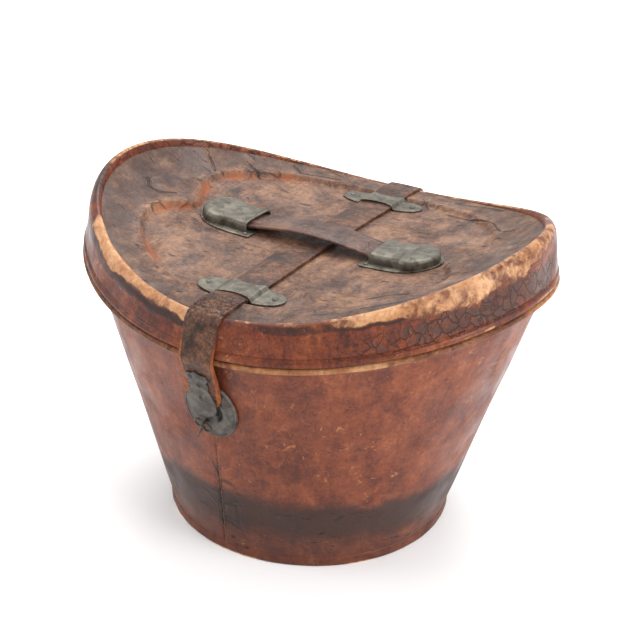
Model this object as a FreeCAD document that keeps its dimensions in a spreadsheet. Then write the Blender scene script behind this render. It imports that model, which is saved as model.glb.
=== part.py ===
import FreeCAD, Part
import math
import os
import sys

# Leather hat box: a flaring bucket with a saddle-shaped rim and lid, a closing strap with
# a hasp and lock, and a strap handle on the lid.  Millimetres, +Z up, the lock faces -Y,
# the long axis is X and the origin is the middle of the underside.

V = FreeCAD.Vector
doc = FreeCAD.newDocument("hat_box")

# ---------------------------------------------------------------- driving dimensions
DIMENSIONS = [
    ("base_radius", 114.5, "outside radius of the bucket at the top of the heel band"),
    ("heel_height", 8.5, "height of the upright band round the foot"),
    ("flare_long", 0.3035, "outward slope of the wall on the long axis"),
    ("flare_short", 0.2254, "outward slope of the wall on the short axis"),
    ("wall_gauge", 4.0, "thickness of the leather covered wall"),
    ("rim_half_long", 185.0, "half length of the lid at its lower edge"),
    ("rim_half_short", 161.0, "half width of the lid at its lower edge"),
    ("rim_height", 206.4, "mean height of the rim ledge"),
    ("rim_saddle", 14.66, "rise of the ledge at the ends, fall at the sides"),
    ("crest_half_long", 178.5, "half length of the lid at its crest"),
    ("crest_half_short", 154.5, "half width of the lid at its crest"),
    ("crest_height", 240.2, "mean height of the lid crest"),
    ("crest_saddle", 21.9, "rise of the crest at the ends, fall at the sides"),
    ("panel_height", 219.5, "height of the lid panel at its middle"),
    ("panel_rise", 8.0, "square term of the panel along the long axis"),
    ("panel_lift", 32.1, "fourth power term of the panel along the long axis"),
    ("panel_crown", 3.7, "fall of the panel from its middle to the long sides"),
    ("panel_gauge", 3.0, "thickness of the lid board"),
    ("border_step", 2.2, "height of the raised lid border over the sunk panel"),
    ("skirt_gauge", 3.2, "thickness of the lid skirt"),
    ("roll_radius", 4.5, "radius of the rolled edge round the lid crest"),
    ("collar_rise", 12.0, "height of the inner collar above the rim ledge"),
    ("collar_gauge", 2.6, "thickness of the inner collar"),
    ("strap_width", 27.0, "width of the closing strap"),
    ("strap_gauge", 2.4, "thickness of the closing strap"),
    ("lock_height", 143.0, "height of the middle of the lock plate"),
    ("lock_half_wide", 21.5, "half width of the oval lock plate"),
    ("lock_half_tall", 24.5, "half height of the oval lock plate"),
    ("lock_dome", 4.2, "height of the lock plate above the wall"),
    ("keeper_offset", 107.0, "distance of each strap keeper from the middle of the lid"),
    ("handle_width", 29.0, "width of the handle strap"),
    ("handle_gauge", 3.2, "thickness of the handle strap"),
]

sheet = doc.addObject("Spreadsheet::Sheet", "dims")
for row, (alias, value, note) in enumerate(DIMENSIONS, start=1):
    sheet.set("A%d" % row, alias)
    sheet.set("B%d" % row, str(value))
    sheet.set("C%d" % row, note)
    sheet.setAlias("B%d" % row, alias)
doc.recompute()


def dim(alias):
    """Value of one driving dimension, read from the spreadsheet."""
    return float(sheet.get(alias))


# ---------------------------------------------------------------- shared shape helpers
def ellipse_wire(half_long, half_short, z):
    """Closed ellipse wire about the Z axis at height z."""
    if abs(half_long - half_short) < 1e-6:
        curve = Part.Circle(V(0, 0, z), V(0, 0, 1), half_long)
    else:
        curve = Part.Ellipse(V(0, 0, z), half_long, half_short)
    return Part.Wire([curve.toShape()])


def wall_size(z, inset=0.0):
    """Half axes of the flaring bucket wall at height z, moved in by inset."""
    rise = z - dim("heel_height")
    half_long = dim("base_radius") + dim("flare_long") * rise - inset
    half_short = dim("base_radius") + dim("flare_short") * rise - inset
    return half_long, half_short


def skirt_size(z, inset=0.0):
    """Half axes of the lid skirt, which leans in towards the crest."""
    rim_end = dim("rim_height") + dim("rim_saddle")
    rim_side = dim("rim_height") - dim("rim_saddle")
    crest_end = dim("crest_height") + dim("crest_saddle")
    crest_side = dim("crest_height") - dim("crest_saddle")
    lean_long = (dim("rim_half_long") - dim("crest_half_long")) / (crest_end - rim_end)
    lean_short = (dim("rim_half_short") - dim("crest_half_short")) / (crest_side - rim_side)
    half_long = dim("rim_half_long") - lean_long * (z - rim_end) - inset
    half_short = dim("rim_half_short") - lean_short * (z - rim_side) - inset
    return half_long, half_short


def taper(size_of, z_low, z_high, inset=0.0):
    """Solid elliptical frustum whose half axes at each height come from size_of."""
    low = size_of(z_low, inset)
    high = size_of(z_high, inset)
    wires = [ellipse_wire(low[0], low[1], z_low), ellipse_wire(high[0], high[1], z_high)]
    return Part.makeLoft(wires, True, True)


def upright(half_long, half_short, z_low, z_high):
    """Solid upright elliptical cylinder."""
    face = Part.Face(ellipse_wire(half_long, half_short, z_low))
    return face.extrude(V(0, 0, z_high - z_low))


def ledge_height(x, y):
    """Height of the rim ledge, a saddle that is high at the long ends."""
    along = (x / dim("rim_half_long")) ** 2
    across = (y / dim("rim_half_short")) ** 2
    return dim("rim_height") + dim("rim_saddle") * (along - across)


def crest_height(x, y):
    """Height of the lid crest, a deeper saddle than the ledge."""
    along = (x / dim("crest_half_long")) ** 2
    across = (y / dim("crest_half_short")) ** 2
    return dim("crest_height") + dim("crest_saddle") * (along - across)


def panel_height(x, y):
    """Height of the sunk lid panel: crowned across, swept up towards both ends."""
    along = (x / dim("crest_half_long")) ** 2
    across = (y / dim("crest_half_short")) ** 2
    lift = dim("panel_rise") * along + dim("panel_lift") * along * (along + across)
    return dim("panel_height") + lift - dim("panel_crown") * across


def surface_block(height_of, shift, depth, box=None, count=15):
    """Block between the surface height_of + shift and the same surface raised by depth."""
    if box is None:
        box = (-200.0, 200.0, -175.0, 175.0)
    x_low, x_high, y_low, y_high = box
    grid = []
    for i in range(count):
        x = x_low + (x_high - x_low) * i / (count - 1)
        line = []
        for j in range(count):
            y = y_low + (y_high - y_low) * j / (count - 1)
            line.append(V(x, y, height_of(x, y) + shift))
        grid.append(line)
    surface = Part.BSplineSurface()
    surface.interpolate(grid)
    return surface.toShape().extrude(V(0, 0, depth))


def prism(points, z_low=150.0, z_high=300.0, smooth=False):
    """Upright prism on a closed outline of (x, y) points, straight or smoothly curved."""
    corners = [V(x, y, z_low) for x, y in points]
    if smooth:
        curve = Part.BSplineCurve()
        curve.interpolate(corners, PeriodicFlag=True)
        wire = Part.Wire([curve.toShape()])
    else:
        wire = Part.makePolygon(corners + corners[:1])
    return Part.Face(wire).extrude(V(0, 0, z_high - z_low))


def mirrored(points):
    """Outline closed by the mirror image, in X, of its right hand half."""
    return points + [(-x, y) for x, y in reversed(points) if abs(x) > 1e-9]


def side_strip(lower, gauge, half_width, plane="YZ"):
    """Bent strap: a smooth lower line with a constant gauge, extruded to both sides."""
    upper = []
    for i, (s, z) in enumerate(lower):
        before = lower[max(i - 1, 0)]
        after = lower[min(i + 1, len(lower) - 1)]
        run = after[0] - before[0]
        rise = after[1] - before[1]
        length = math.hypot(run, rise)
        upper.append((s - rise / length * gauge, z + run / length * gauge))

    def place(point):
        if plane == "YZ":
            return V(-half_width, point[0], point[1])
        return V(point[0], -half_width, point[1])

    edges = []
    for line in (lower, upper):
        curve = Part.BSplineCurve()
        curve.interpolate([place(point) for point in line])
        edges.append(curve.toShape())
    edges.append(Part.makeLine(place(lower[0]), place(upper[0])))
    edges.append(Part.makeLine(place(lower[-1]), place(upper[-1])))
    wire = Part.Wire(Part.__sortEdges__(edges))
    travel = V(2 * half_width, 0, 0) if plane == "YZ" else V(0, 2 * half_width, 0)
    return Part.Face(wire).extrude(travel)


def dome_head(radius, height):
    """Rivet head: a ball segment on the XY plane."""
    ball = (radius * radius + height * height) / (2 * height)
    sphere = Part.makeSphere(ball, V(0, 0, height - ball))
    return sphere.common(Part.makeCylinder(radius, height + 0.1))


def saddle_pipe(half_long, half_short, height_of, radius, count=14):
    """Closed round bead that follows an ellipse lifted onto a saddle, lofted in two halves."""
    bead = None
    for half in (0, 1):
        sections = []
        for i in range(count + 1):
            turn = math.pi * (half + i / count)
            x = half_long * math.cos(turn)
            y = half_short * math.sin(turn)
            along = V(-half_long * math.sin(turn), half_short * math.cos(turn), 0).normalize()
            ring = Part.Circle(V(x, y, height_of(x, y)), along, radius)
            ring.XAxis = V(along.y, -along.x, 0)
            sections.append(Part.Wire([ring.toShape()]))
        piece = Part.makeLoft(sections, True, False)
        bead = piece if bead is None else bead.fuse(piece)
    return bead


def single(shape):
    """The shape as one solid where it holds only one."""
    solids = shape.Solids
    if len(solids) == 1:
        return solids[0]
    return Part.makeCompound(solids)


NODES = []


def add_node(name, build, drivers):
    """Add a sub-part whose shape comes from build and whose drivers follow the sheet."""
    node = doc.addObject("Part::Feature", name)
    node.Label = name
    for alias in drivers:
        node.addProperty("App::PropertyFloat", alias, "Drivers", "follows the spreadsheet")
        node.setExpression(alias, "dims.%s" % alias)
    node.Shape = single(build())
    NODES.append(node)
    return node


# ---------------------------------------------------------------- bucket
def collar_taper(inset):
    """Inner collar outline: follows the wall below the ledge and stands upright above it."""
    clear = dim("wall_gauge") + 0.15
    follow = taper(wall_size, 150.0, 245.0, clear + inset)
    long_end = wall_size(dim("rim_height") + dim("rim_saddle"), clear - 0.6 + inset)[0]
    short_end = wall_size(dim("rim_height") - dim("rim_saddle"), clear - 0.6 + inset)[1]
    return follow.common(upright(long_end, short_end, 149.0, 246.0))


def build_bucket_wall():
    outer = taper(wall_size, dim("heel_height"), 240.0)
    inner = taper(wall_size, dim("heel_height"), 245.0, dim("wall_gauge"))
    return outer.cut(inner).cut(surface_block(ledge_height, 0.0, 90.0))


def build_rim_collar():
    ring = collar_taper(0.0).cut(collar_taper(dim("collar_gauge")))
    rise = dim("collar_rise")
    return ring.common(surface_block(ledge_height, -24.0, 24.0 + rise))


def build_rim_welt():
    outer = taper(skirt_size, 160.0, 240.0, -1.2)
    ring = outer.cut(taper(wall_size, 150.0, 245.0, -0.05))
    band = ring.common(surface_block(ledge_height, -5.0, 4.95))
    slope = taper(wall_size, 150.0, 245.0, -6.6)
    upper = band.common(surface_block(ledge_height, -3.2, 4.0))
    lower = band.common(surface_block(ledge_height, -6.0, 2.8)).common(slope)
    return upper.fuse(lower).removeSplitter()


def build_bucket_lining():
    gap = dim("wall_gauge") + 0.2
    outer = taper(wall_size, dim("heel_height"), 230.0, gap)
    inner = taper(wall_size, dim("heel_height"), 235.0, gap + 0.9)
    return outer.cut(inner).cut(surface_block(ledge_height, -24.4, 90.0))


bucket_drivers = ["base_radius", "flare_long", "flare_short", "wall_gauge", "rim_saddle"]
add_node("bucket_wall", build_bucket_wall, bucket_drivers)
add_node("rim_collar", build_rim_collar, ["collar_rise", "collar_gauge"] + bucket_drivers)
add_node("rim_welt", build_rim_welt, ["rim_half_long", "rim_half_short"] + bucket_drivers)
add_node("bucket_lining", build_bucket_lining, bucket_drivers)

# The foot is made of plain parametric primitives.
heel_outer = doc.addObject("Part::Cylinder", "heel_outer")
heel_outer.setExpression("Radius", "dims.base_radius + 0.4")
heel_outer.setExpression("Height", "dims.heel_height - 0.05")
heel_inner = doc.addObject("Part::Cylinder", "heel_inner")
heel_inner.setExpression("Radius", "dims.base_radius - 4.6")
heel_inner.setExpression("Height", "dims.heel_height + 4")
heel_inner.Placement.Base = V(0, 0, -2)
heel_band = doc.addObject("Part::Cut", "heel_band")
heel_band.Base = heel_outer
heel_band.Tool = heel_inner
heel_band.Label = "heel_band"
NODES.append(heel_band)

base_board = doc.addObject("Part::Cylinder", "base_board")
base_board.setExpression("Radius", "dims.base_radius - 4.7")
base_board.Height = 5.4
base_board.Placement.Base = V(0, 0, 1.0)
base_board.Label = "base_board"
NODES.append(base_board)
doc.recompute()

# ---------------------------------------------------------------- lock on the front wall
LOCK_TILT = math.degrees(math.atan(dim("flare_short")))
lock_front = -wall_size(dim("lock_height"))[1]
LOCK_FRAME = FreeCAD.Placement(
    V(0, lock_front, dim("lock_height")),
    FreeCAD.Rotation(V(1, 0, 0), 90.0 + LOCK_TILT),
)


def on_lock(shape):
    """Move a shape from the lock frame (X across, Y up the wall, Z outward) to its place."""
    shape = shape.copy()
    shape.transformShape(LOCK_FRAME.toMatrix())
    return shape


def lock_point(up, out):
    """Height-plane point (y, z) of a place given up the wall and outward of the lock."""
    point = LOCK_FRAME.multVec(V(0, up, out))
    return point.y, point.z


def lock_oval(half_wide, half_tall, low, high):
    """Oval block in the lock frame, taller than it is wide."""
    oval = Part.Ellipse(V(0, 0, low), half_tall, half_wide)
    face = Part.Face(Part.Wire([oval.toShape()]))
    face.rotate(V(0, 0, low), V(0, 0, 1), 90.0)
    return face.extrude(V(0, 0, high - low))


BOLT_UP = 9.5
KEY_ACROSS = -3.0
KEY_UP = -9.5
HASP_ACROSS = -2.0
LOCK_RIVETS = ((-13.3, 16.6), (13.3, 16.6), (-13.3, -16.6), (13.3, -16.6))


def build_lock_plate():
    wide = dim("lock_half_wide")
    tall = dim("lock_half_tall")
    dome = dim("lock_dome")
    flange = lock_oval(wide, tall, -6.0, 1.6)
    bead = lock_oval(wide, tall, -6.0, 2.4).cut(lock_oval(wide - 1.8, tall - 1.8, -7.0, 3.0))
    raised = lock_oval(wide - 4.6, tall - 4.6, -6.0, dome)
    raised = raised.makeFillet(1.6, [e for e in raised.Edges if e.BoundBox.ZMin > dome - 0.1])
    plate = flange.fuse(bead).fuse(raised)
    cavity = lock_oval(wide - 6.2, tall - 6.2, -7.0, dome - 1.2)
    slot = Part.makeBox(4.8, 11.0, 12.0, V(HASP_ACROSS - 2.4, BOLT_UP - 5.5, -4.0))
    keyhole = Part.makeCylinder(1.95, 12.0, V(KEY_ACROSS, KEY_UP, -4.0))
    keyway = Part.makeBox(2.0, 6.6, 12.0, V(KEY_ACROSS - 1.0, KEY_UP - 6.6, -4.0))
    plate = plate.cut(cavity).cut(slot).cut(keyhole.fuse(keyway))
    for across, up in LOCK_RIVETS:
        plate = plate.cut(Part.makeCylinder(1.78, 6.0, V(across, up, 1.6)))
    wall = taper(wall_size, dim("heel_height"), 240.0, -0.06)
    return on_lock(plate).cut(wall)


def build_lock_bolt():
    bar = Part.makeBox(6.4, 2.6, 1.3, V(-11.6, BOLT_UP - 1.3, 0.85))
    tail = Part.makeBox(2.6, 6.0, 1.3, V(-11.6, BOLT_UP - 7.2, 0.85))
    return on_lock(bar.fuse(tail).removeSplitter())


def build_lock_rivets():
    heads = []
    for across, up in LOCK_RIVETS:
        head = dome_head(1.7, 0.9)
        head.translate(V(across, up, 1.62))
        heads.append(on_lock(head))
    return Part.makeCompound(heads)


def build_key():
    shaft = Part.makeCylinder(1.4, 8.2, V(KEY_ACROSS, KEY_UP, 0.6))
    bit = Part.makeBox(1.3, 5.4, 1.6, V(KEY_ACROSS - 0.65, KEY_UP - 5.4, 0.85))
    body = shaft.fuse(bit)
    for side in (-1, 1):
        ring = Part.makeTorus(3.1, 0.75, V(KEY_ACROSS + 3.5 * side, KEY_UP - 1.6 * side, 9.3))
        body = body.fuse(ring)
    spike = Part.makeCone(1.1, 0.6, 15.0, V(KEY_ACROSS, KEY_UP, 9.3), V(-0.45, -0.88, 0.0))
    return on_lock(body.fuse(spike))


lock_drivers = ["lock_height", "lock_half_wide", "lock_half_tall", "lock_dome"]
add_node("lock_plate", build_lock_plate, lock_drivers)
add_node("lock_bolt", build_lock_bolt, lock_drivers)
add_node("lock_rivets", build_lock_rivets, lock_drivers)
add_node("lock_key", build_key, lock_drivers)

# ---------------------------------------------------------------- rear strap tail
STRAP_HALF = dim("strap_width") / 2
RIM_SIDE = dim("rim_height") - dim("rim_saddle")


def wall_side(z, out=0.0):
    """Distance of the long side of the wall from the middle at height z."""
    return wall_size(z)[1] + out


def build_strap_tail():
    top = dim("rim_half_short") + 1.9
    lower = [(wall_side(132.0, 0.35), 132.0), (wall_side(145.0, 0.35), 145.0)]
    lower += [(wall_side(158.0, 0.35), 158.0), (wall_side(170.0, 0.6), 170.0)]
    lower += [(wall_side(178.0, 3.4), 178.0), (top + 0.1, RIM_SIDE - 7.0)]
    lower += [(top + 0.15, RIM_SIDE - 4.0), (top, RIM_SIDE - 0.4)]
    lower = [(y, z) for y, z in reversed(lower)]
    strip = side_strip(lower, dim("strap_gauge"), STRAP_HALF)
    keep_out = taper(wall_size, dim("heel_height"), 240.0, -0.1)
    rounded = Part.makeCylinder(STRAP_HALF + 1.0, 80.0, V(0, 110.0, 147.0), V(0, 1, 0))
    upper = Part.makeBox(40.0, 80.0, 60.0, V(-20.0, 110.0, 147.0))
    return strip.cut(keep_out).common(rounded.fuse(upper))


def build_tail_rivets():
    heads = []
    tilt = FreeCAD.Rotation(V(1, 0, 0), -90.0 - LOCK_TILT)
    for across, z in ((-7.5, 142.0), (7.5, 142.0), (-7.5, 158.0), (7.5, 158.0)):
        head = dome_head(2.3, 1.2)
        out = dim("strap_gauge") + 0.42
        place = V(across, wall_side(z, 0.0), z) + V(0, math.cos(math.radians(LOCK_TILT)) * out,
                                                    -math.sin(math.radians(LOCK_TILT)) * out)
        head.transformShape(FreeCAD.Placement(place, tilt).toMatrix())
        heads.append(head)
    return Part.makeCompound(heads)


strap_drivers = ["strap_width", "strap_gauge"]
add_node("strap_tail_rear", build_strap_tail, strap_drivers)
add_node("strap_tail_rivets", build_tail_rivets, strap_drivers)

# ---------------------------------------------------------------- lid shell
ROLL = dim("roll_radius")


def build_roll_tool(extra=0.0):
    """Rolled edge bead, optionally fatter so that it can cut clearance."""
    half_long = dim("crest_half_long") - ROLL + 0.6
    half_short = dim("crest_half_short") - ROLL + 0.6

    def height(x, y):
        return crest_height(x, y) - ROLL

    return saddle_pipe(half_long, half_short, height, ROLL + extra)


roll_clearance = build_roll_tool(0.04)


def bean_outline():
    """Sunk, two-lobed field of the lid: round lobes that meet in a notch at each handle plate."""
    right = [(0, -125), (38, -122), (72, -110), (99, -89), (119, -64), (127, -39), (119, -17)]
    right += [(107, -5), (107, 5)]
    right += [(119, 17), (127, 39), (119, 64), (99, 89), (72, 110), (38, 122), (0, 125)]
    return mirrored(right)


def build_lid_panel():
    inner = taper(skirt_size, 180.0, 275.0, dim("skirt_gauge") + 0.15)
    slab = surface_block(panel_height, -dim("panel_gauge"), dim("panel_gauge"))
    return slab.common(inner).cut(roll_clearance)


def build_lid_border():
    inner = taper(skirt_size, 180.0, 275.0, dim("skirt_gauge") + 2.0)
    slab = surface_block(panel_height, 0.03, dim("border_step"))
    field = prism(bean_outline(), smooth=True)
    return slab.common(inner).cut(field).cut(roll_clearance)


def build_lid_skirt():
    outer = taper(skirt_size, 180.0, 275.0)
    ring = outer.cut(taper(skirt_size, 175.0, 280.0, dim("skirt_gauge")))
    ring = ring.common(surface_block(ledge_height, 5.05, 90.0))
    return ring.cut(surface_block(crest_height, -ROLL, 60.0)).cut(roll_clearance)


def build_skirt_binding():
    outer = taper(skirt_size, 175.0, 275.0, -0.4)
    ring = outer.cut(taper(skirt_size, 170.0, 280.0, dim("skirt_gauge") + 0.3))
    return ring.common(surface_block(ledge_height, 0.05, 4.95))


def build_lid_lining():
    inner = taper(skirt_size, 180.0, 275.0, dim("skirt_gauge") + 4.5)
    slab = surface_block(panel_height, -dim("panel_gauge") - 0.9, 0.8)
    return slab.common(inner).cut(roll_clearance)


lid_drivers = ["crest_half_long", "crest_half_short", "crest_height", "crest_saddle"]
panel_drivers = ["panel_height", "panel_rise", "panel_lift", "panel_crown", "panel_gauge"]
add_node("lid_panel", build_lid_panel, panel_drivers)
add_node("lid_border", build_lid_border, ["border_step"] + panel_drivers)
add_node("lid_edge_roll", build_roll_tool, ["roll_radius"] + lid_drivers)
add_node("lid_skirt", build_lid_skirt, ["skirt_gauge"] + lid_drivers)
add_node("skirt_binding", build_skirt_binding, ["skirt_gauge"] + lid_drivers)
add_node("lid_lining", build_lid_lining, panel_drivers)

# ---------------------------------------------------------------- closing strap
def strap_lower_line():
    """Underside of the closing strap from its rear lower end to its front lower end."""
    half = []
    for y in (0.0, 20.0, 40.0, 60.0, 80.0, 98.0, 112.0):
        half.append((y, panel_height(STRAP_HALF, y) + 0.12))
    half.append((117.0, panel_height(STRAP_HALF, 117.0) + 0.25))
    step = dim("border_step") + 0.3
    for y in (123.2, 129.0, 137.0, 144.0):
        half.append((y, panel_height(STRAP_HALF, y) + step))
    center_y = dim("crest_half_short") - ROLL + 0.6
    center_z = crest_height(0, center_y) - ROLL
    for turn in (80.0, 58.0, 36.0, 14.0):
        reach = ROLL + 0.35
        half.append((center_y + reach * math.cos(math.radians(turn)),
                     center_z + reach * math.sin(math.radians(turn))))
    for z in (208.0, 202.0, 197.5, RIM_SIDE + 0.45):
        half.append((skirt_size(z, -0.75)[1], z))
    return [(-y, z) for y, z in reversed(half[1:])] + half


def build_closing_strap():
    return side_strip(strap_lower_line(), dim("strap_gauge"), STRAP_HALF)


add_node("closing_strap", build_closing_strap, strap_drivers)


def build_keeper(side):
    """Strap keeper: two rounded ears on the lid and a bridge over the strap."""
    middle = side * dim("keeper_offset")
    box = (-40.0, 40.0, middle - 30.0, middle + 30.0)
    inner = STRAP_HALF + 0.7
    ears = None
    for hand in (-1, 1):
        ear = Part.Face(Part.Wire([Part.Ellipse(V(hand * 24.0, middle, 150.0), 11.5, 10.5).toShape()]))
        ear = ear.extrude(V(0, 0, 150.0))
        root = Part.makeBox(8.0, 24.0, 150.0, V(hand * 18.2 - 4.0, middle - 12.0, 150.0))
        shape = ear.fuse(root)
        shape = shape.cut(Part.makeBox(2 * inner, 60.0, 150.0, V(-inner, middle - 30.0, 150.0)))
        ears = shape if ears is None else ears.fuse(shape)
    ears = ears.common(surface_block(panel_height, 0.06, 1.3, box, 7))
    shell = Part.makeBox(2 * inner + 3.0, 22.0, 150.0, V(-inner - 1.5, middle - 11.0, 150.0))
    tunnel = Part.makeBox(2 * inner, 60.0, 150.0, V(-inner, middle - 30.0, 150.0))
    tunnel = tunnel.common(surface_block(panel_height, -5.0, 8.15, box, 7))
    bridge = shell.common(surface_block(panel_height, 0.06, 4.35, box, 7)).cut(tunnel)
    for end in (-1, 1):
        bite = Part.makeCylinder(26.0, 150.0, V(0, middle + end * (11.0 + 23.6), 150.0))
        bridge = bridge.cut(bite)
    return ears.fuse(bridge).removeSplitter()


def lid_heads(places, radius, height, lift):
    """Rivet heads standing on a plate that lies on the lid panel."""
    heads = []
    for x, y in places:
        head = dome_head(radius, height)
        head.translate(V(x, y, panel_height(x, y) + lift))
        heads.append(head)
    return Part.makeCompound(heads)


def build_keeper_rivets():
    places = []
    for side in (-1, 1):
        for hand in (-1, 1):
            places.append((hand * 27.5, side * dim("keeper_offset")))
    return lid_heads(places, 2.3, 1.3, 1.52)


add_node("keeper_front", lambda: build_keeper(-1), ["keeper_offset"] + strap_drivers)
add_node("keeper_rear", lambda: build_keeper(1), ["keeper_offset"] + strap_drivers)
add_node("keeper_rivets", build_keeper_rivets, ["keeper_offset"])

# ---------------------------------------------------------------- handle
HANDLE_HALF = dim("handle_width") / 2


def flip(shape, hand):
    """The shape itself for the right hand side, its mirror image for the left."""
    if hand > 0:
        return shape
    return shape.mirror(V(0, 0, 0), V(1, 0, 0))


# Patch of the lid round the right hand plate, for surface blocks.
PLATE_PATCH = (30.0, 120.0, -40.0, 40.0)


def build_handle_plate(hand):
    """Flat flange of one handle plate: square at its inner end, round at its outer end."""
    outline = [(48, -24.5), (56, -24.0), (66, -25.0), (78, -25.0), (90, -22.0), (99, -14.0)]
    outline += [(103.5, 0), (99, 14.0), (90, 22.0), (78, 25.0), (66, 25.0), (56, 24.0), (48, 24.5)]
    plate = prism(outline).common(surface_block(panel_height, 0.06, 1.4, PLATE_PATCH, 9))
    return flip(plate, hand)


def build_handle_housing(hand):
    """Raised housing of one handle plate, hollow so that the strap end can slide in it."""
    outline = [(54, -18.2), (77, -18.2), (79, -21.5), (90, -20.4), (98, -13.5), (101, 0)]
    outline += [(98, 13.5), (90, 20.4), (79, 21.5), (77, 18.2), (54, 18.2)]
    block = prism(outline).common(surface_block(panel_height, 1.5, 6.6, PLATE_PATCH, 9))
    trimmed = [(54, -16.4), (77.5, -16.4), (80, -19.4), (89, -18.2), (96, -12), (98.8, 0)]
    trimmed += [(96, 12), (89, 18.2), (80, 19.4), (77.5, 16.4), (54, 16.4)]
    crown = prism(trimmed).common(surface_block(panel_height, 8.1, 1.0, PLATE_PATCH, 9))
    tunnel = Part.makeBox(48.5, 2 * HANDLE_HALF + 1.4, 150.0, V(49.0, -HANDLE_HALF - 0.7, 150.0))
    tunnel = tunnel.common(surface_block(panel_height, 0.5, 5.9, PLATE_PATCH, 9))
    round_end = Part.makeCylinder(26.0, 150.0, V(71.5, 0, 150.0))
    tunnel = tunnel.common(round_end.fuse(Part.makeBox(30.0, 60.0, 150.0, V(45.0, -30.0, 150.0))))
    return flip(block.fuse(crown).cut(tunnel), hand)


def build_plate_pins():
    places = []
    for hand in (-1, 1):
        for side in (-1, 1):
            places.append((hand * 52.5, side * 20.8))
    return lid_heads(places, 1.8, 1.0, 1.57)


def handle_line():
    """Underside of the handle strap, bowed up between the two housings."""
    half = [(0.0, 228.2), (12.0, 227.9), (22.0, 227.3), (32.0, 226.2), (42.0, 224.9)]
    for x in (53.0, 62.0, 72.0, 82.0, 89.0, 94.0):
        half.append((x, panel_height(x, 0) + 2.2))
    half[5] = (53.0, panel_height(53.0, 0) + 2.6)
    return [(-x, z) for x, z in reversed(half[1:])] + half


handle_strip = side_strip(handle_line(), dim("handle_gauge"), HANDLE_HALF, "XZ")
HANDLE_CUT = 31.0
HANDLE_GAP = 0.45


def build_handle_mid():
    half = HANDLE_CUT - HANDLE_GAP
    return handle_strip.common(Part.makeBox(2 * half, 80.0, 100.0, V(-half, -40.0, 180.0)))


def build_handle_end(hand):
    start = HANDLE_CUT + HANDLE_GAP
    end = handle_strip.common(Part.makeBox(90.0, 80.0, 100.0, V(start, -40.0, 180.0)))
    round_end = Part.makeCylinder(24.5, 150.0, V(70.0, 0, 150.0))
    keep = round_end.fuse(Part.makeBox(60.0, 60.0, 150.0, V(10.0, -30.0, 150.0)))
    return flip(end.common(keep), hand)


handle_drivers = ["handle_width", "handle_gauge"]
for hand, word in ((-1, "left"), (1, "right")):
    add_node("handle_plate_%s" % word, lambda: build_handle_plate(hand), handle_drivers)
    add_node("handle_housing_%s" % word, lambda: build_handle_housing(hand), handle_drivers)
    add_node("handle_strap_%s" % word, lambda: build_handle_end(hand), handle_drivers)
add_node("handle_strap_mid", build_handle_mid, handle_drivers)
add_node("handle_plate_pins", build_plate_pins, handle_drivers)

# ---------------------------------------------------------------- front tab and hasp
def tab_lower_line():
    """Inner face of the hanging strap tab: over the rim ledge, then down onto the lock."""
    top = dim("rim_half_short") + 1.9
    line = [(-top, RIM_SIDE - 0.1), (-top - 0.1, RIM_SIDE - 4.0)]
    for up, out in ((41.0, 6.95), (35.0, 5.5), (28.0, 4.7), (20.0, 4.55), (12.0, 4.55), (4.0, 4.55)):
        line.append(lock_point(up, out))
    return line[::-1]


def build_strap_tab():
    strip = side_strip(tab_lower_line(), dim("strap_gauge"), STRAP_HALF)
    outline = [(-13.5, 60), (-13.5, 18), (-9, 9.5), (-2, 5), (6, 8), (12, 17), (13.5, 24), (13.5, 60)]
    shape = Part.makePolygon([V(x, u, -5) for x, u in outline + outline[:1]])
    block = Part.Face(shape).extrude(V(0, 0, 30.0))
    staple = Part.makeBox(5.0, 12.0, 30.0, V(HASP_ACROSS - 2.5, BOLT_UP - 6.0, -5.0))
    return strip.common(on_lock(block.cut(staple)))


def hasp_outline():
    """Leaf outline of the hasp: scalloped riveted head, narrow neck, broad leaf, round tip."""
    right = [(0, 40.5), (3.2, 38.2), (8.2, 37.5), (9.6, 33.5), (7.0, 30.0), (8.4, 26.5)]
    right += [(7.4, 22.5), (9.4, 19.0), (12.2, 13.0), (12.0, 6.0), (8.4, 1.0), (3.6, -1.4), (0, -1.9)]
    return [(x + HASP_ACROSS, up) for x, up in mirrored(right)]


def build_hasp_plate():
    line = [(42.5, 9.75), (36.0, 8.4), (28.0, 7.25), (20.0, 7.0), (12.0, 7.0), (4.0, 6.9), (-4.0, 6.3)]
    low = [lock_point(up, out) for up, out in reversed(line)]
    strip = side_strip(low, 1.5, 16.0)
    corners = [V(x, up, -5) for x, up in hasp_outline()]
    block = Part.Face(Part.makePolygon(corners + corners[:1])).extrude(V(0, 0, 30.0))
    return strip.common(on_lock(block))


def build_hasp_staple():
    leg = Part.makeBox(2.6, 8.4, 6.75, V(HASP_ACROSS - 1.3, BOLT_UP - 4.2, 0.15))
    eye = Part.makeBox(10.0, 3.8, 1.8, V(HASP_ACROSS - 5.0, BOLT_UP - 1.9, 0.6))
    return on_lock(leg.cut(eye))


def build_hasp_rivets():
    heads = []
    for across, up, out in ((-5.4, 34.0, 9.97), (5.4, 34.0, 9.97), (0.0, 26.2, 8.98), (0.0, 14.6, 8.56)):
        head = dome_head(1.9, 1.0)
        head.translate(V(across + HASP_ACROSS, up, out))
        heads.append(on_lock(head))
    return Part.makeCompound(heads)


add_node("strap_tab", build_strap_tab, strap_drivers)
add_node("hasp_plate", build_hasp_plate, lock_drivers)
add_node("hasp_staple", build_hasp_staple, lock_drivers)
add_node("hasp_rivets", build_hasp_rivets, lock_drivers)

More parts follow.
